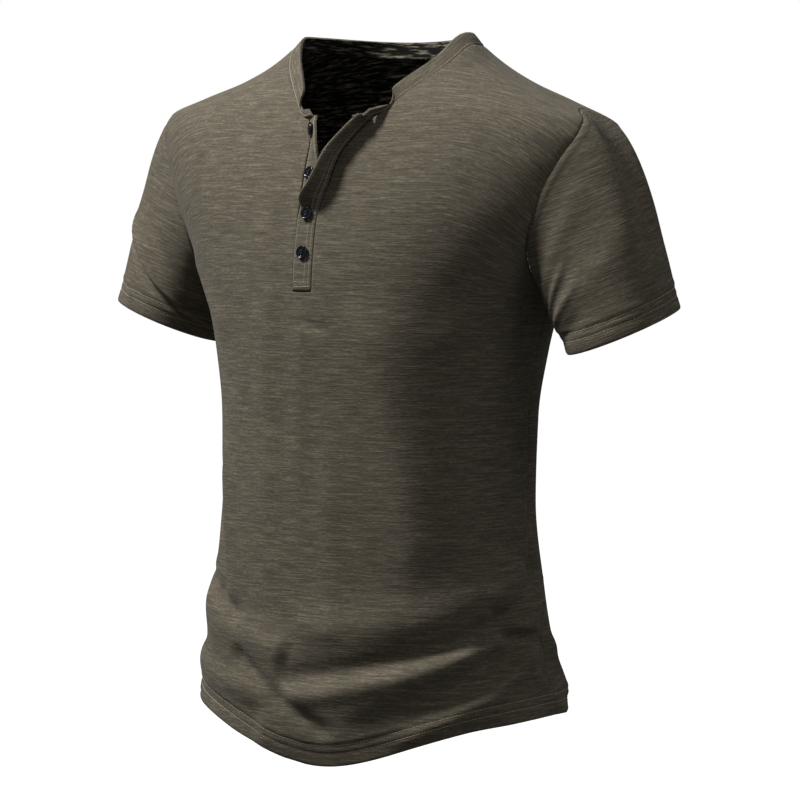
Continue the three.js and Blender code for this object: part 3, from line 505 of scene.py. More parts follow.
# %% Panel grids
NECK_CELLS = 54
BACK_NECK_CELLS = 54
SHOULDER_CELLS = 42
LOWER_ROWS = 132
YOKE_ROWS = 72
SLIT_CELLS = 8
HEM_CELLS = 23
HEM_SHARE = 0.07
SEAM_LAP = 0.4


def round_from(p, back):
    """Girth angle, distance from the axis and level of points."""
    y = p[..., 1] if back else -p[..., 1]
    return np.stack([np.arctan2(np.abs(p[..., 0]), y), np.hypot(p[..., 0], p[..., 1]), p[..., 2]], -1)


def round_to(c, back, side):
    """Points from girth angle, distance from the axis and level."""
    y = c[..., 1] * np.cos(c[..., 0])
    return np.stack([side * c[..., 1] * np.sin(c[..., 0]), y if back else -y, c[..., 2]], -1)


def panel_half(back, side):
    """Half of a body panel on the plain form, hem row first and middle column first."""
    neck_cells = BACK_NECK_CELLS if back else NECK_CELLS
    top = np.concatenate([
        spaced(neck_line(back, side), np.linspace(0, 1, neck_cells + 1)),
        spaced(shoulder_line(side), np.linspace(0, 1, SHOULDER_CELLS + 1))[1:],
    ])
    across = neck_cells + SHOULDER_CELLS
    u = np.linspace(0, 1, across + 1)
    start = 0 if back else math.degrees(math.asin(seam_left(ARMPIT) / front_at(ARMPIT)))
    angle = start + (90 - start) * u
    bottom = hem_level(side * (180 - angle if back else angle))
    share = np.concatenate([np.linspace(0, HEM_SHARE, HEM_CELLS + 1)[:-1],
                            np.linspace(HEM_SHARE, 1, LOWER_ROWS + 1 - HEM_CELLS)])
    share = share[:-1, None]
    z = bottom + (ARMPIT - bottom) * share
    ray = np.stack([np.broadcast_to(np.radians(angle), z.shape), 0 * z + 100, z], axis=-1)
    lower = onto_form(round_to(ray, back, side))
    foot_ray = np.stack([np.radians(angle), 0 * angle + 100, 0 * angle + ARMPIT], axis=-1)
    foot = round_from(onto_form(round_to(foot_ray, back, side)), back)
    v = np.linspace(0, 1, YOKE_ROWS + 1)
    inner = round_from(inner_edge(back, side, v, top[0]), back)[:, None]
    outer = round_from(arm_seam(1 - v, back, side), back)[:, None]
    top = round_from(top, back)
    u, v = u[None, :, None], v[:, None, None]
    patch = (1 - v) * foot + v * top + (1 - u) * inner + u * outer
    patch = patch - (1 - u) * (1 - v) * foot[0] - u * (1 - v) * foot[-1]
    patch = patch - (1 - u) * v * top[0] - u * v * top[-1]
    return np.concatenate([lower, onto_form(round_to(patch, back, side))])


def draw_in(grid, lines, amount=SEAM_GAP / 2):
    """Moves the points of the named grid lines towards their neighbours by half a seam gap."""
    moved = grid.copy()
    for rows, cols, step_row, step_col in lines:
        here = grid[rows, cols]
        there = np.roll(grid, (-step_row, -step_col), axis=(0, 1))[rows, cols]
        moved[rows, cols] += unit(there - here) * amount
    return moved


def body_panel(back):
    """The front's or the back's plain points, their sides and the cells that are there."""
    left, right = panel_half(back, 1), panel_half(back, -1)[:, ::-1]
    cells = right.shape[1] - 1
    if back:
        plain = np.concatenate([right, left[:, 1:]], axis=1)
    else:
        mix = (np.arange(1, SLIT_CELLS) / SLIT_CELLS)[None, :, None]
        bridge = right[:, -1:] * (1 - mix) + left[:, :1] * mix
        plain = np.concatenate([right, onto_form(bridge), left], axis=1)
    columns = plain.shape[1]
    full = slice(None)
    lines = [(full, 0, 0, 1), (full, -1, 0, -1), (-1, full, -1, 0)]
    plain = draw_in(plain, lines, SEAM_GAP / 2 if back else -SEAM_LAP)
    if not back:
        yoke = slice(LOWER_ROWS, None)
        plain = draw_in(plain, [(yoke, cells, 0, -1), (yoke, cells + SLIT_CELLS, 0, 1)])
    side = np.where(np.arange(columns) < columns / 2, -1, 1) * np.ones((len(plain), 1))
    keep = np.ones((len(plain) - 1, columns - 1), bool)
    if not back:
        keep[LOWER_ROWS:, cells:cells + SLIT_CELLS] = False
    return plain, side, keep


plain_front, side_front, keep_front = body_panel(False)
plain_back, side_back, keep_back = body_panel(True)
print("front grid", plain_front.shape[:2], "back grid", plain_back.shape[:2])

# %% [markdown]
# ## Light and colour
# Colours are picked as sRGB hex values, as a dye card gives them. Blender works in linear light,
# so one function turns them. One more small function adds a shader node with its settings and
# its links, and keeps the material cells short.

# %% Colour and node helpers
def linear(hex_colour):
    """An sRGB hex colour as linear RGBA."""
    channels = [int(hex_colour[k:k + 2], 16) / 255 for k in (1, 3, 5)]
    return tuple(c / 12.92 if c <= 0.04045 else ((c + 0.055) / 1.055) ** 2.4 for c in channels) + (1,)


def add_node(tree, kind, inputs=None, **settings):
    """Adds a node with its settings; an input is a value or another node's socket."""
    node = tree.nodes.new(kind)
    for key, value in settings.items():
        setattr(node, key, value)
    for key, value in (inputs or {}).items():
        if isinstance(value, bpy.types.NodeSocket):
            tree.links.new(value, node.inputs[key])
        else:
            node.inputs[key].default_value = value
    return node


def new_material(name, values):
    """A material with its shader, which takes the values on its own sockets."""
    material = bpy.data.materials.new(name)
    material.use_nodes = True
    tree = material.node_tree
    tree.nodes.clear()
    shader = add_node(tree, "ShaderNodeBsdfPrincipled", values)
    add_node(tree, "ShaderNodeOutputMaterial", {"Surface": shader.outputs["BSDF"]})
    return material, tree, shader


def mottled(name, tones, scale, values, space="Object"):
    """A material that fine noise mottles between two tones."""
    material, tree, shader = new_material(name, values)
    place = add_node(tree, "ShaderNodeTexCoord").outputs[space]
    noise = add_node(tree, "ShaderNodeTexNoise", {"Vector": place, "Scale": scale, "Detail": 2.0})
    ramp = add_node(tree, "ShaderNodeValToRGB", {"Fac": noise.outputs["Fac"]})
    for stop, tone in zip(ramp.color_ramp.elements, tones):
        stop.color = linear(tone)
    tree.links.new(ramp.outputs["Color"], shader.inputs["Base Color"])
    return material


# %% [markdown]
# ## Slub cotton jersey
# Slub jersey is single jersey knitted from cotton yarn spun unevenly on purpose: each yarn has
# thick and thin stretches, so the courses, which run round the body, show as short light and dark
# streaks. The cloth is garment-dyed, and the thick stretches stand up and wear a little lighter.
# The real courses are 0.6 mm apart, finer than a pixel here, so the fine courses are drawn 1.15 mm
# apart, as coarse as they need to show. Streaks are 4 to 70 mm long, as slubs are.

# %% Jersey
COURSE = 1.15
JERSEY = {
    "face": {"low": "#322e26", "mid": "#544e42", "high": "#7d7565", "spread": 0.26,
             "yarns": [(5, 1, 2, 0.40), (22, 1.5, 1, 0.42), (70, 4, 1, 0.18)]},
    # The reverse is the cloth's inside. It is drawn near black as painted shade, and its slub streaks
    # are brightened as painted grazing highlights.
    "reverse": {"low": "#060505", "mid": "#1b1815", "high": "#a89f8b", "spread": 0.18,
                "yarns": [(6, 1.2, 2, 0.22), (20, 2.2, 1, 0.60), (60, 5, 1, 0.18)]},
}
JERSEY_VALUES = {"Roughness": 0.92, "IOR": 1.46, "Specular IOR Level": 0.2,
                 "Sheen Weight": 0.05, "Sheen Roughness": 0.5}


def slub_jersey(name, look):
    """The knitted cloth; look holds the tones and yarns of one side: the face, or the reverse that is
    darkened as painted shade.
    """
    material, tree, shader = new_material(name, JERSEY_VALUES)
    uv = add_node(tree, "ShaderNodeUVMap", uv_map="cloth").outputs["UV"]

    def yarns(length, height, detail):
        squeeze = (1 / length, 1 / height, 1)
        laid = add_node(tree, "ShaderNodeMapping", {"Vector": uv, "Scale": squeeze})
        noise = add_node(tree, "ShaderNodeTexNoise", {
            "Vector": laid.outputs["Vector"], "Scale": 1.0, "Detail": detail, "Roughness": 0.55})
        return noise.outputs["Fac"]

    def weighted(value, weight, rest):
        step = add_node(tree, "ShaderNodeMath", {0: value, 1: weight, 2: rest},
                        operation="MULTIPLY_ADD")
        return step.outputs[0]

    blend = 0.0
    for length, courses, detail, weight in look["yarns"]:
        blend = weighted(yarns(length, COURSE * courses, detail), weight, blend)
    shade = add_node(tree, "ShaderNodeMapRange", {
        "Value": blend, "From Min": 0.5 - look["spread"], "From Max": 0.5 + look["spread"]})
    ramp = add_node(tree, "ShaderNodeValToRGB", {"Fac": shade.outputs["Result"]})
    stops = ramp.color_ramp.elements
    stops[0].position, stops[0].color = 0.0, linear(look["low"])
    stops[1].position, stops[1].color = 1.0, linear(look["high"])
    stops.new(0.5).color = linear(look["mid"])
    bump = add_node(tree, "ShaderNodeBump", {
        "Height": blend, "Strength": 0.5, "Distance": 1.2 * MM})
    tree.links.new(ramp.outputs["Color"], shader.inputs["Base Color"])
    tree.links.new(bump.outputs["Normal"], shader.inputs["Normal"])
    return material


jersey_face = slub_jersey("slub_cotton_jersey_face", JERSEY["face"])
jersey_reverse = slub_jersey("slub_cotton_jersey_reverse", JERSEY["reverse"])
# Face outside; the inner faces take the reverse, darkened as painted shade.
CLOTH = [jersey_face, jersey_reverse]
print("courses drawn", COURSE, "mm apart, yarn streaks",
      ", ".join("%d mm" % yarn[0] for yarn in JERSEY["face"]["yarns"]))

# %% [markdown]
# ## The body panels as cloth
# The grids become shells. The hem is turned up 20 mm and held by two rows of coverstitch, which
# press shallow grooves into the cloth. A seam pulls its edge in, so the outer face dips a little
# within a few millimetres of it.

# %% Front and back shells
SEAM_DIP = {"deep": 0.5, "width": 2.2}
HEM_GROOVE = {"deep": 0.65, "width": 1.3}
HEM_PUFF = {"high": 0.5, "width": 2.5, "above": 4.5}
HEM_EDGE = {"deep": 0.6, "width": 1.2}


def hem_relief(d):
    """How the hem's stitching shapes the outer face, d millimetres above the edge."""
    rows = sum(bell(d - row, HEM_GROOVE["width"]) for row in HEM_STITCHES)
    puff = bell(d - HEM_STITCHES[1] - HEM_PUFF["above"], HEM_PUFF["width"])
    edge = bell(d, HEM_EDGE["width"])
    return HEM_PUFF["high"] * puff - HEM_GROOVE["deep"] * rows - HEM_EDGE["deep"] * edge


def hem_wall(d):
    """How thick the cloth lies d millimetres above the edge; it is doubled in the hem."""
    return WALL + (HEM_WALL - WALL) * ease((HEM_TURN + 2 - d) / 3)


def make_panel(name, plain, side, keep):
    """Builds a body panel as a cloth shell and returns what the stitching needs."""
    around = length_along(plain.swapaxes(0, 1)).T
    hem = length_along(plain)
    base = hem_level(np.degrees(np.arctan2(plain[0, :, 0], -plain[0, :, 1])))
    across = around - around[:, -1:] / 2 + PATTERN_START[name]
    cloth = np.stack([across, hem + base], axis=-1)
    seam = np.minimum(np.minimum(around, around[:, -1:] - around), length_along(plain[::-1])[::-1])
    dip = -SEAM_DIP["deep"] * bell(seam, SEAM_DIP["width"])
    normal = skin_normal(plain, side)
    outer = skin_point(plain, side) + normal * (hem_relief(hem) + dip)[..., None]
    # The inner faces, seen through the neck, take the reverse cloth as painted shade.
    obj = shell(name, outer, normal, hem_wall(hem), cloth, CLOTH, keep=keep)
    ride_and_stand_for(obj, name)
    return {"obj": obj, "outer": outer, "normal": normal, "hem": hem}


front = make_panel("front_panel", plain_front, side_front, keep_front)
back = make_panel("back_panel", plain_back, side_back, keep_back)

# %% [markdown]
# ## Sleeves
# A set-in sleeve is a flat piece with a rounded cap, closed into a tube and sewn into the armhole.
# From each point of the armhole the cloth first runs straight off the shoulder and then bends down
# to the cuff. A Hermite curve has just those controls: where it starts and ends, and which way it
# heads at both ends.

# %% Sleeve sizes and folds
CUFFS = {
    "sleeve_left": {"side": 1, "centre": (256, 8, -277), "across": 55, "deep": 61,
                    "tilt": 18, "turn": 14, "cap": 168},
    "sleeve_right": {"side": -1, "centre": (-259, -4, -279), "across": 55, "deep": 61,
                     "tilt": 21, "turn": -9, "cap": 104},
}
CAP = {"under": 40, "cuff_top": 78, "cuff_under": 60, "aim": 0.6, "droop": -0.6, "wrap": 0.4}
SLEEVE_FOLD_COLUMNS = ("around0", "along0", "around1", "along1", "width", "height")
SLEEVE_FOLDS = {
    "sleeve_right": [
        (40, 0.52, 138, 0.66, 0.085, 3), (46, 0.40, 142, 0.50, 0.07, -3),
        (30, 0.52, 140, 0.70, 0.028, 3.2), (30, 0.575, 140, 0.765, 0.035, -4.2),
        (60, 0.74, 78, 0.92, 0.06, 2.5), (226, 0.40, 310, 0.62, 0.09, 4),
        (236, 0.62, 320, 0.84, 0.07, -2.5),
    ],
    "sleeve_left": [
        (146, 0.42, 70, 0.24, 0.08, 2), (140, 0.66, 40, 0.52, 0.10, 2),
        (142, 0.56, 98, 0.42, 0.035, 2.6), (140, 0.66, 92, 0.55, 0.035, 2.2),
        (150, 0.84, 96, 0.72, 0.07, -2), (222, 0.44, 300, 0.34, 0.09, 4),
        (228, 0.70, 316, 0.60, 0.08, -3),
    ],
}
SEAM_TUCK = {"run": 3.2, "in": 1.2}
SEAM_BULGE = {"high": 0.7, "at": 4, "width": 3}
SLEEVE_DIP = {"deep": 0.5, "width": 1.4}
UNDERARM_SEAM = {"deep": 0.7, "width": 1.6}
SLEEVE_RADIUS = 58
SLEEVE_ROUND = 156
SLEEVE_ROWS = 84
CUFF_LENGTH = 190
print(sum(len(folds) for folds in SLEEVE_FOLDS.values()), "folds on the sleeves")


# %% Sleeve tubes
def cuff_axis(cuff):
    """The way that a sleeve heads at its cuff."""
    tilt, turn = math.radians(cuff["tilt"]), math.radians(cuff["turn"])
    return unit(np.array([cuff["side"] * math.sin(tilt), math.sin(turn), -math.cos(tilt)]))


def sleeve_base(cuff, p, s):
    """A sleeve before its folds: p degrees around, s from the armhole (0) to the cuff (1)."""
    side = cuff["side"]
    p = p % 360
    t = np.where(p > 180, 360 - p, p) / 180
    behind = (p > 180)[..., None]
    seam = lambda q: np.where(behind, arm_seam(q, True, side), arm_seam(q, False, side))
    start = seam(t)
    normal = skin_normal(start, 0 * t)
    off = unit(np.cross(normal, seam(np.clip(t + 0.01, 0, 1)) - seam(np.clip(t - 0.01, 0, 1))))
    hole = start * [0.98, 0, 0] + [0, 0, (SHOULDER_TIP + ARMPIT) / 2]
    off = facing(off, hole - start)
    axis, tilt = cuff_axis(cuff), math.radians(cuff["tilt"])
    up = np.array([side * math.cos(tilt), 0, math.sin(tilt)])
    outward = unit(up - axis * (up @ axis))
    forward = np.cross(axis, outward)
    forward = -forward if forward[1] > 0 else forward
    angle = np.radians(p)[..., None]
    c = (1 + np.cos(angle)) / 2
    ring = outward * cuff["across"] * np.cos(angle) + forward * cuff["deep"] * np.sin(angle)
    end = np.array(cuff["centre"]) + ring
    share = c ** CAP["aim"]
    level = np.ones_like(angle)
    over = unit(np.concatenate([side * level, CAP["wrap"] * np.sin(angle), CAP["droop"] * level], -1))
    leave = unit(over * share + axis * (1 - share))
    m0 = cuff["cap"] * c + CAP["under"] * (1 - c)
    m1 = CAP["cuff_top"] * c + CAP["cuff_under"] * (1 - c)
    start = skin_point(start, 0 * t) + unit(off * c + normal * (1 - c)) * (SEAM_GAP + 0.1)
    s = s[..., None]
    ends = start * (1 + 2 * s) * (1 - s) ** 2 + end * s * s * (3 - 2 * s)
    return ends + leave * m0 * s * (1 - s) ** 2 + axis * m1 * s * s * (s - 1)


def sleeve_lift(name, p, s):
    """Height of a sleeve's folds."""
    total = 0 * s
    for row in SLEEVE_FOLDS[name]:
        f = dict(zip(SLEEVE_FOLD_COLUMNS, row))
        t = (p - f["around0"]) / (f["around1"] - f["around0"])
        off = s - (f["along0"] + (f["along1"] - f["along0"]) * t)
        ends = ease((t + 0.25) / 0.5) * ease((1.25 - t) / 0.5)
        total = total + f["height"] * ends * bell(off, f["width"])
    return total * ease(s / 0.2)


def tube_normal(grid, middle):
    """Outward directions of a tube's points, away from its middle line."""
    across = np.roll(grid, -1, axis=1) - np.roll(grid, 1, axis=1)
    return facing(unit(np.cross(across, np.gradient(grid, axis=0))), grid - middle)


def make_sleeve(name):
    """A sleeve as a tube of cloth with its folds, seams and turned-up hem."""
    cuff = CUFFS[name]
    s_line = np.concatenate([[0, 0.012], np.linspace(0.03, 1, SLEEVE_ROWS)])
    p_line = np.arange(SLEEVE_ROUND) * 360 / SLEEVE_ROUND
    s, p = np.meshgrid(s_line, p_line, indexing="ij")
    base = sleeve_base(cuff, p, s)
    middle = base.mean(axis=1, keepdims=True)
    plain_normal = tube_normal(base, middle)
    folded = base + plain_normal * sleeve_lift(name, p, s)[..., None]
    along = length_along(folded)
    hem = along[-1:] - along
    bulge = SEAM_BULGE["high"] * bell(along - SEAM_BULGE["at"], SEAM_BULGE["width"])
    dip = SLEEVE_DIP["deep"] * bell(along, SLEEVE_DIP["width"])
    groove = UNDERARM_SEAM["deep"] * bell((p - 180) * CUFF_LENGTH / 90, UNDERARM_SEAM["width"])
    relief = hem_relief(hem) + (bulge - dip) - groove
    outer = folded + plain_normal * relief[..., None]
    normal = tube_normal(folded, middle)
    run = unit(outer[:1] - outer[1:2]) * SEAM_TUCK["run"]
    outer = np.concatenate([outer[:1] + run - normal[:1] * SEAM_TUCK["in"], outer])
    folded, normal, hem = (np.concatenate([a[:1], a]) for a in (folded, normal, hem))
    around = np.arange(SLEEVE_ROUND + 1) * 2 * math.pi * SLEEVE_RADIUS / SLEEVE_ROUND
    down = tube((folded - np.array(cuff["centre"])) @ cuff_axis(cuff))
    cloth = np.stack(np.broadcast_arrays(around + PATTERN_START[name], down), axis=-1)
    # The inner faces take the reverse cloth as painted shade.
    obj = shell(name, outer, normal, hem_wall(hem), cloth, CLOTH, wraps=True)
    ride_and_stand_for(obj, name)
    return {"obj": obj, "outer": outer, "normal": normal, "hem": hem}


sleeves = {name: make_sleeve(name) for name in CUFFS}

# %% [markdown]
# ## Placket strips
# The placket is two doubled strips on the slit's edges. The wearer's left strip laps over the
# right one. Where it is unbuttoned it turns away from the chest like the page of a book, which is
# how it is built: each strip lies along the form and is then turned about the seam it hangs on.

# %% Placket strips
STRIP_ROWS = 120
STRIP_END_ROWS = 13
STRIP_CELLS = 14
STRIP_EDGE = {"high": 0.6, "round": 2.5, "sunk": 0.7}
STRIP_GROOVE = {"deep": 0.3, "at": 3.2, "width": 1.0}


def opening_line(side, rows):
    """The seam that a strip hangs on, from the slit's foot to the neck."""
    top = neck_line(False, side)[0]
    line = inner_edge(False, side, np.linspace(0, 1, rows + 1), top)
    x = seam_left(ARMPIT) if side > 0 else seam_right(ARMPIT)
    return np.concatenate([[on_section(x, ARMPIT - 1.2, False)], line[1:]])


def turned(v, axis, angle):
    """Vectors turned about axes."""
    c, s = np.cos(angle)[..., None], np.sin(angle)[..., None]
    dot = np.einsum("...i,...i", v, axis)[..., None]
    return v * c + np.cross(axis, v) * s + axis * dot * (1 - c)


def strip_points(kind, rows, u):
    """Outer face and outward directions of a strip, u from the sewn edge to the free edge."""
    side = 1 if kind == "overlap" else -1
    line = opening_line(side, rows)
    up = unit(np.gradient(line, axis=0))[:, None]
    degrees = over_turn(line[:, 2]) if side > 0 else under_turn(line[:, 2])
    turn = np.radians(degrees)[:, None]

    def laid(run):
        q = on_section(line[:, :1] - side * run, line[:, 2:3], False)
        n = skin_normal(q, side + 0 * q[..., 0])
        return skin_point(q, side + 0 * q[..., 0]) + n * STRIP_LEVEL[kind], n

    start, _ = laid(np.array([[SEAM_GAP]]))
    first, last = STRIP_REACH[kind]
    here, n = laid(first + (last - first) * u[None, :])
    share = 0.45 + 0.55 * ease(u[None, :] / 0.5) if side > 0 else 1 + 0 * u[None, :]
    angle = side * turn * share
    axis = np.broadcast_to(up, here.shape)
    return start + turned(here - start, axis, angle), turned(n, axis, angle), line, up


def make_strip(kind):
    """A placket strip as a doubled band of cloth with soft folded edges."""
    u = np.linspace(0, 1, STRIP_CELLS + 1)
    outer, normal, line, _ = strip_points(kind, STRIP_ROWS, u)
    run = u * STRIP_WIDTH
    gap = np.minimum(run, STRIP_WIDTH - run)
    puff = STRIP_EDGE["high"] * ease(gap / STRIP_EDGE["round"]) - STRIP_EDGE["sunk"]
    puff = puff - STRIP_GROOVE["deep"] * bell(gap - STRIP_GROOVE["at"], STRIP_GROOVE["width"])
    outer = outer + normal * puff[None, :, None]
    name = "placket_" + kind
    down = length_along(line)[:, None]
    cloth = np.stack(np.broadcast_arrays(run + PATTERN_START[name], down), axis=-1)
    obj = shell(name, outer, normal, STRIP_WALL, cloth, [jersey_face, jersey_face])
    ride_and_stand_for(obj, name)
    return {"outer": outer, "normal": normal}


strips = {kind: make_strip(kind) for kind in STRIP_LEVEL}

# %% [markdown]
# ## Neckband
# The band is one doubled strip, stretched a little as it is sewn on, which makes it lean in and
# stand up round the neck. It follows the neck seam and runs on over the tops of both placket
# strips, so its path is joined from six stretches. Its foot reaches a little way into the seam.

# %% Neckband
BAND_FOOT = 2.0
BAND_ACROSS = 9
BAND_PUFF = 0.5
BAND_REACH = 7


def strip_end(kind):
    """The band's stations along the top of one placket strip."""
    u = np.linspace(0, 1, STRIP_CELLS + 1)
    outer, normal, _, up = strip_points(kind, STRIP_END_ROWS, u)
    height = BAND_CORNER[kind] * (1 - BAND_TAPER[kind] * u)
    return outer[-1], np.broadcast_to(up[-1], outer[-1].shape), normal[-1], height


def band_quarter(back, side, cells):
    """The band's stations along one quarter of the neck seam."""
    p = spaced(neck_line(back, side), np.linspace(0, 1, cells + 1))
    mark = np.full(len(p), 0 if back else side)
    n = skin_normal(p, mark)
    middle = p * [0, 0, 1] + [0, 0, 30]
    inward = facing(unit(np.cross(n, np.gradient(p, axis=0))), middle - p)
    share = np.linspace(0, 1, cells + 1)[:, None]
    start, end = BAND_LEAN["back" if back else "front"], BAND_LEAN["shoulder"]
    lean = start + (end - start) * ease(share * 1.1)
    up = inward * np.cos(lean) + n * np.sin(lean)
    height = np.full(len(p), float(BAND_HEIGHT))
    if not back:
        kind = "overlap" if side > 0 else "underlap"
        strip_up = strip_points(kind, STRIP_END_ROWS, np.array([0.5]))[3][-1]
        up = up + (strip_up - up) * ease(1 - share / BAND_BLEND)
        height = BAND_CORNER[kind] + (BAND_HEIGHT - BAND_CORNER[kind]) * ease(share[:, 0] / 0.45)
    up = unit(up)
    normal = unit(n - up * np.einsum("ij,ij->i", n, up)[:, None])
    return skin_point(p, mark), up, normal, height


def soften(values):
    """A running average along the band, so that it turns each corner in a soft curve."""
    padded = np.pad(values, ((BAND_REACH, BAND_REACH), (0, 0)), mode="edge")
    weights = np.hanning(2 * BAND_REACH + 3)[1:-1]
    spread = [np.convolve(padded[:, k], weights / weights.sum(), "valid") for k in range(3)]
    return np.stack(spread, axis=-1)


def make_band():
    """The neckband, from the free edge of one strip round to the free edge of the other."""
    parts = [
        (strip_end("underlap"), slice(-1, 0, -1)),
        (band_quarter(False, -1, NECK_CELLS), slice(0, -1)),
        (band_quarter(True, -1, BACK_NECK_CELLS), slice(-1, 0, -1)),
        (band_quarter(True, 1, BACK_NECK_CELLS), slice(0, -1)),
        (band_quarter(False, 1, NECK_CELLS), slice(-1, None, -1)),
        (strip_end("overlap"), slice(0, None)),
    ]
    base, up, normal, height = (np.concatenate([part[k][cut] for part, cut in parts])
                                for k in range(4))
    base, up, normal = soften(base), unit(soften(up)), unit(soften(normal))
    v = np.linspace(0, 1, BAND_ACROSS + 1)[None, :, None]
    rise = BAND_STEP - BAND_FOOT + (height[:, None, None] + BAND_FOOT) * v
    puff = BAND_PUFF * (np.sin(np.pi * v) ** 0.5 - 0.5)
    outer = base[:, None] + up[:, None] * rise + normal[:, None] * puff
    around = length_along(base)[:, None] + PATTERN_START["neckband"]
    cloth = np.stack(np.broadcast_arrays(around, rise[..., 0]), axis=-1)
    normals = np.broadcast_to(normal[:, None], outer.shape)
    # The band's inner faces, seen at the back of the neck, take the reverse cloth as painted shade.
    obj = shell("neckband", outer, normals, BAND_WALL, cloth, CLOTH)
    ride_and_stand_for(obj, "neckband")
    return {"outer": outer, "normal": normals}


band = make_band()

# %% [markdown]
# ## Buttons
# Shirt buttons are cast in polyester resin, turned to a dished face with a raised rim, drilled with
# four holes and tumbled to a high gloss. Here that is a turned profile: the disc is a grid of rings
# whose height comes from the radius, with the four holes sunk into it.

# %% Resin and thread
RESIN_VALUES = {"Roughness": 0.12, "IOR": 1.54, "Specular IOR Level": 0.4,
                "Coat Weight": 0.15, "Coat Roughness": 0.06}
THREAD_VALUES = {"Roughness": 0.7, "Sheen Weight": 0.2}
resin = mottled("cast_polyester_resin", ("#07080d", "#11141f"), 400, RESIN_VALUES)
thread = mottled("spun_polyester_thread", ("#6a6352", "#a39a84"), 1500, THREAD_VALUES)
button_thread = mottled("button_thread", ("#14151c", "#2b2d38"), 1500, THREAD_VALUES)
print("materials:", ", ".join(sorted(material.name for material in bpy.data.materials)))

# %% Turned buttons
BUTTON = {"radius": 6.2, "face": 1.7, "spread": 1.55, "bore": 0.6375, "chamfer": 0.3,
          "drilled": 1.45}
BUTTON_FACE = np.array([(0, 1.7), (4, 1.72), (4.9, 2.4), (5.45, 2.5), (6, 2.1), (6.2, 1.3)])
BUTTON_SIDE = np.array([(6.2, 0.9), (5.9, 0.35), (5.2, 0)])
BUTTONS = {
    "button_1": ("underlap", -94, 0.9), "button_2": ("underlap", -134, 0.9),
    "button_3": ("overlap", -170.5, 0.6), "button_4": ("overlap", -205.5, 0.6),
}
FACE_RINGS = np.concatenate([np.linspace(0.05, 4, 26), np.linspace(4.15, BUTTON["radius"], 14)])
ROUND_STEPS = 48
SEAT_ROWS = 240


def button_place(kind, z, seat):
    """Where a button is sewn: its seat and its three directions."""
    outer, normal, line, _ = strip_points(kind, SEAT_ROWS, np.array([0.3, 0.5, 0.7]))
    k = int(np.argmin(np.abs(line[:, 2] - z)))
    x = unit(outer[k, 2] - outer[k, 0])
    n = unit(normal[k, 1] - x * (normal[k, 1] @ x))
    return outer[k, 1] + n * seat, x, n, np.cross(x, n)


def button_height(px, py):
    """Height of a button's turned and drilled face at points of its plan."""
    height = np.interp(np.hypot(px, py), BUTTON_FACE[:, 0], BUTTON_FACE[:, 1])
    for hole in (np.arange(4) + 0.5) * math.pi / 2:
        gap = np.hypot(px - BUTTON["spread"] * np.cos(hole), py - BUTTON["spread"] * np.sin(hole))
        height = height - BUTTON["drilled"] * (1 - ease((gap - BUTTON["bore"]) / BUTTON["chamfer"]))
    return height


def make_button(name, kind, z, seat):
    """A turned four-hole button, closed by a point in the middle of its face and of its back."""
    seat, x, n, y = button_place(kind, z, seat)
    turn = np.arange(ROUND_STEPS) * 2 * math.pi / ROUND_STEPS
    r, a = np.meshgrid(np.append(FACE_RINGS, BUTTON_SIDE[:, 0]), turn, indexing="ij")
    px, py = r * np.cos(a), r * np.sin(a)
    height = button_height(px, py)
    height[len(FACE_RINGS):] = BUTTON_SIDE[:, 1:]
    local = np.stack([px, py, height], axis=-1).reshape(-1, 3)
    local = np.concatenate([local, [[0, 0, height[0, 0]], [0, 0, 0]]])
    index = tube(np.arange(r.size).reshape(r.shape))
    faces = cell_corners(index).reshape(-1, 4).tolist()
    faces += [[r.size, q, p] for p, q in zip(index[0, :-1].tolist(), index[0, 1:].tolist())]
    faces += [[r.size + 1, p, q] for p, q in zip(index[-1, :-1].tolist(), index[-1, 1:].tolist())]
    obj = new_mesh(name + "_turned", seat + local @ np.stack([x, y, n]), faces, [resin])
    ride_and_stand_for(obj, name)
    return {"seat": seat, "x": x, "n": n, "y": y}


buttons = {name: make_button(name, *place) for name, place in BUTTONS.items()}
print(len(buttons), "buttons,", 2 * BUTTON["radius"], "mm across")

# %% [markdown]
# ## Stitches
# A coverstitch shows as two rows of short bars of thread that sink into the cloth at both ends. The
# real ones are 2.5 mm long. Each bar here is laid by itself, so that it catches the light. Rows
# follow the hem, the cuffs, the band's seam and both edges of the placket strips.

# %% Rows of stitches
STITCH = {"pitch": 2.9, "length": 2.2, "width": 0.85, "proud": 0.5, "sunk": 0.4}
STITCH_STATIONS = ((-1, 0.25), (-0.55, 0.9), (0.55, 0.9), (1, 0.25))


def stitch_bars(line, normal):
    """Points of the bars along one row, bar by bar; each is a small ridge, high in its middle."""
    run = length_along(line)
    centres = np.arange(STITCH["pitch"] / 2, run[-1], STITCH["pitch"])

    def along(at, values):
        return np.stack([np.interp(at, run, values[:, k]) for k in range(3)], axis=-1)

    n = unit(along(centres, normal))
    half = STITCH["length"] / 2
    way = unit(along(centres + half, line) - along(centres - half, line))
    across = unit(np.cross(way, n)) * STITCH["width"] / 2
    middle = along(centres, line)
    stations = []
    for share, high in STITCH_STATIONS:
        centre = middle + way * half * share
        top, foot = centre + n * STITCH["proud"] * high, centre - n * STITCH["sunk"]
        stations.append(np.stack([foot - across, centre - across * 0.9, top, centre + across * 0.9,
                                  foot + across], axis=1))
    return np.stack(stations, axis=1)


def sew(name, rows, material):
    """One object for all the rows of stitches on a piece."""
    bars = np.concatenate([stitch_bars(line, normal) for line, normal in rows])
    per_bar = bars.shape[1] * bars.shape[2]
    quads = cell_corners(tube(np.arange(per_bar).reshape(bars.shape[1:3]))).reshape(-1, 4)
    faces = quads + (np.arange(len(bars)) * per_bar)[:, None, None]
    obj = new_mesh("stitches_" + name, bars.reshape(-1, 3), faces.reshape(-1, 4).tolist(), [material])
    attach(obj, "root")
    print("%s: %d stitches" % (name, len(bars)))


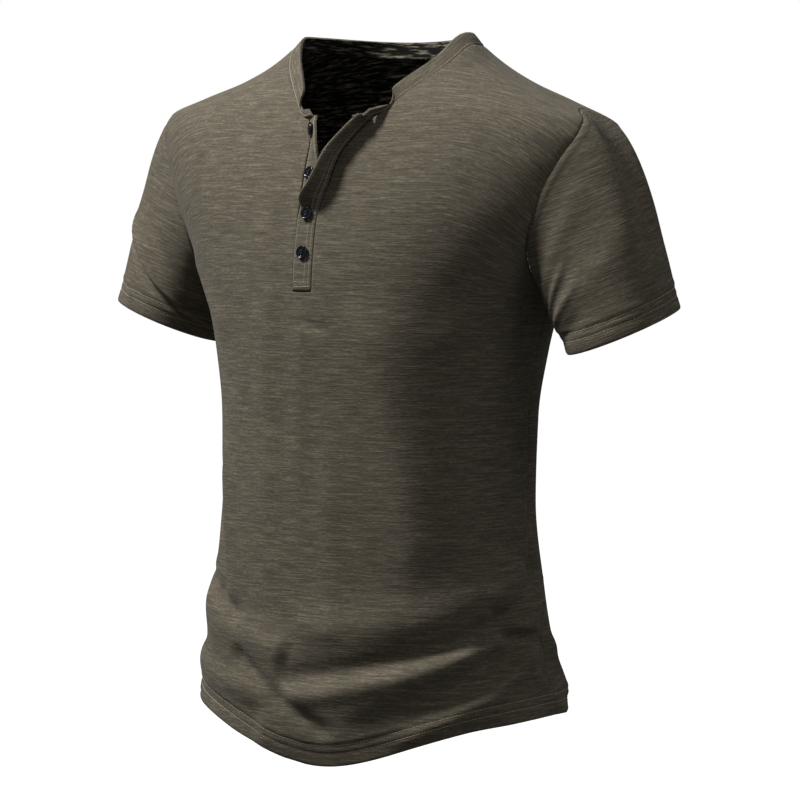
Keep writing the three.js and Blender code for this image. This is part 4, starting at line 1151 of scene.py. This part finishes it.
def level_row(piece, distance, closed=False):
    """The line on a piece at a distance above its hem."""
    hem = piece["hem"]
    order = slice(None) if hem[-1, 0] > hem[0, 0] else slice(None, None, -1)

    def crossing(values):
        return np.stack([[np.interp(distance, hem[order, c], values[order, c, k])
                          for k in range(3)] for c in range(hem.shape[1])])

    line, normal = crossing(piece["outer"]), crossing(piece["normal"])
    if closed:
        line, normal = (np.concatenate([v, v[:1]]) for v in (line, normal))
    return line, normal


# %% Stitches on the hems
for name, panel in (("front_hem", front), ("back_hem", back)):
    sew(name, [level_row(panel, distance) for distance in HEM_STITCHES], thread)
for name, sleeve in sleeves.items():
    rows = [level_row(sleeve, distance, True) for distance in HEM_STITCHES]
    sew(name + "_hem", rows, thread)

# %% Stitches on the placket and the neckband
STRIP_STITCHES = {"overlap": (0.14, 0.36, 0.9), "underlap": (0.14, 0.86)}
STRIP_STITCH_START = 4
BOX_STITCH_ROWS = (2, 5)
BAND_STITCH_ROW = 2
for kind, shares in STRIP_STITCHES.items():
    outer, normal = strips[kind]["outer"], strips[kind]["normal"]
    columns = [int(round(share * STRIP_CELLS)) for share in shares]
    rows = [(outer[STRIP_STITCH_START:, k], normal[STRIP_STITCH_START:, k]) for k in columns]
    if kind == "overlap":
        rows += [(outer[up, 1:-1], normal[up, 1:-1]) for up in BOX_STITCH_ROWS]
    sew("placket_" + kind, rows, thread)
band_row = band["outer"][:, BAND_STITCH_ROW], band["normal"][:, BAND_STITCH_ROW]
sew("neckband", [band_row], thread)

# %% [markdown]
# ## Thread on the buttons
# Two bars of dark thread cross each button between its holes and go down through them.

# %% Button threads
THREAD_BAR = {"ends": (-1.4, 0, 1.4), "heights": (0.1, 0.65, 0.1), "aside": 1.1005}
for name, button in buttons.items():
    rows = []
    for y in (-1, 1):
        ends = np.array(THREAD_BAR["ends"])[:, None] * button["x"]
        high = np.array(THREAD_BAR["heights"])[:, None] + BUTTON["face"]
        line = button["seat"] + ends + button["n"] * high + button["y"] * y * THREAD_BAR["aside"]
        rows.append((line, np.broadcast_to(button["n"], line.shape)))
    sew("on_" + name, rows, button_thread)

# %% [markdown]
# ## Sheets of cloth
# Each piece was cut flat before it was sewn. The flat size is the rectangle that the piece is cut
# from, and the area is what is left of it after the curves are cut away.

# %% Cut sizes
CUTS = {
    "front_panel": (front["obj"], (0.53, 0.70), 0.30),
    "back_panel": (back["obj"], (0.52, 0.69), 0.30),
    "sleeve_left": (sleeves["sleeve_left"]["obj"], (0.40, 0.22), 0.060),
    "sleeve_right": (sleeves["sleeve_right"]["obj"], (0.40, 0.22), 0.060),
}
for name, (obj, flat, area) in CUTS.items():
    print("%s: cut from %d x %d cm" % (name, round(flat[0] * 100), round(flat[1] * 100)))

# %% [markdown]
# ## Camera, floor and light
# The picture was taken from the wearer's left front, 34 degrees round and 4 degrees up, with a long
# lens. The key light stands high on the picture's left, so the planes that face right fall into
# shade. A weak fill stands on the other side, and the white room lights the rest.

# %% Camera
VIEW_AZIMUTH = math.radians(34)
VIEW_RISE = math.radians(4)
VIEW_DISTANCE = 3.0
VIEW_TARGET = np.array([0, 0, -0.350])
FOCAL_PIXELS = 3125
CENTRE_X = 387
IMAGE = 800
SENSOR = 36
away = np.array([math.sin(VIEW_AZIMUTH) * math.cos(VIEW_RISE),
                 -math.cos(VIEW_AZIMUTH) * math.cos(VIEW_RISE), math.sin(VIEW_RISE)])
camera_data = bpy.data.cameras.new("camera")
camera_data.sensor_width = SENSOR
camera_data.lens = FOCAL_PIXELS / IMAGE * SENSOR
camera_data.shift_x = (IMAGE / 2 - CENTRE_X) / IMAGE
camera = bpy.data.objects.new("camera", camera_data)
camera.location = VIEW_TARGET + away * VIEW_DISTANCE
camera.rotation_euler = (math.pi / 2 - VIEW_RISE, 0, VIEW_AZIMUTH)
bpy.context.scene.collection.objects.link(camera)
bpy.context.scene.camera = camera

# %% Floor and lights
FLOOR_LEVEL = -1400
FLOOR_HALF = 30000
right_way = np.array([math.cos(VIEW_AZIMUTH), math.sin(VIEW_AZIMUTH), 0])


def soft_light(name, side, forward, height, size, watts):
    """A square soft box placed from the camera's point of view, aimed at the shirt."""
    data = bpy.data.lights.new(name, "AREA")
    data.size = size
    data.energy = watts
    light = bpy.data.objects.new(name, data)
    toward = np.array([away[0], away[1], 0]) / math.cos(VIEW_RISE)
    place = right_way * side + toward * forward + np.array([0, 0, height])
    light.location = place
    aim = VIEW_TARGET - place
    flat = math.hypot(aim[0], aim[1])
    light.rotation_euler = (math.pi / 2 + math.atan2(aim[2], flat), 0, math.atan2(-aim[0], aim[1]))
    bpy.context.scene.collection.objects.link(light)


PAPER_VALUES = {"Roughness": 0.9, "Emission Color": (1, 1, 1, 1), "Emission Strength": 0.9}
paper = mottled("white_paper_sweep", ("#f4f4f3", "#f8f8f8"), 6, PAPER_VALUES, "Generated")
ways = ((-1, -1), (1, -1), (1, 1), (-1, 1))
corners = [(x * FLOOR_HALF, y * FLOOR_HALF, FLOOR_LEVEL) for x, y in ways]
sweep = new_mesh("floor", corners, [(0, 1, 2, 3)], [paper])
sweep.visible_diffuse = False
sweep.visible_glossy = False

soft_light("key", side=-1.65, forward=0.5, height=1.95, size=0.5, watts=126)
soft_light("fill", side=1.3, forward=1.4, height=1.7, size=1.0, watts=13)

# %% The white room
ROOM_LIGHT = 0.145
world = bpy.data.worlds.new("white_room")
world.use_nodes = True
room = world.node_tree
room.nodes.clear()
ray = add_node(room, "ShaderNodeLightPath")
strength = add_node(room, "ShaderNodeMapRange", {
    "Value": ray.outputs["Is Camera Ray"], "To Min": ROOM_LIGHT, "To Max": 1.0})
lit = add_node(room, "ShaderNodeBackground", {
    "Color": (1, 1, 1, 1), "Strength": strength.outputs["Result"]})
add_node(room, "ShaderNodeOutputWorld", {"Surface": lit.outputs["Background"]})
bpy.context.scene.world = world
bpy.context.scene.view_settings.view_transform = "Standard"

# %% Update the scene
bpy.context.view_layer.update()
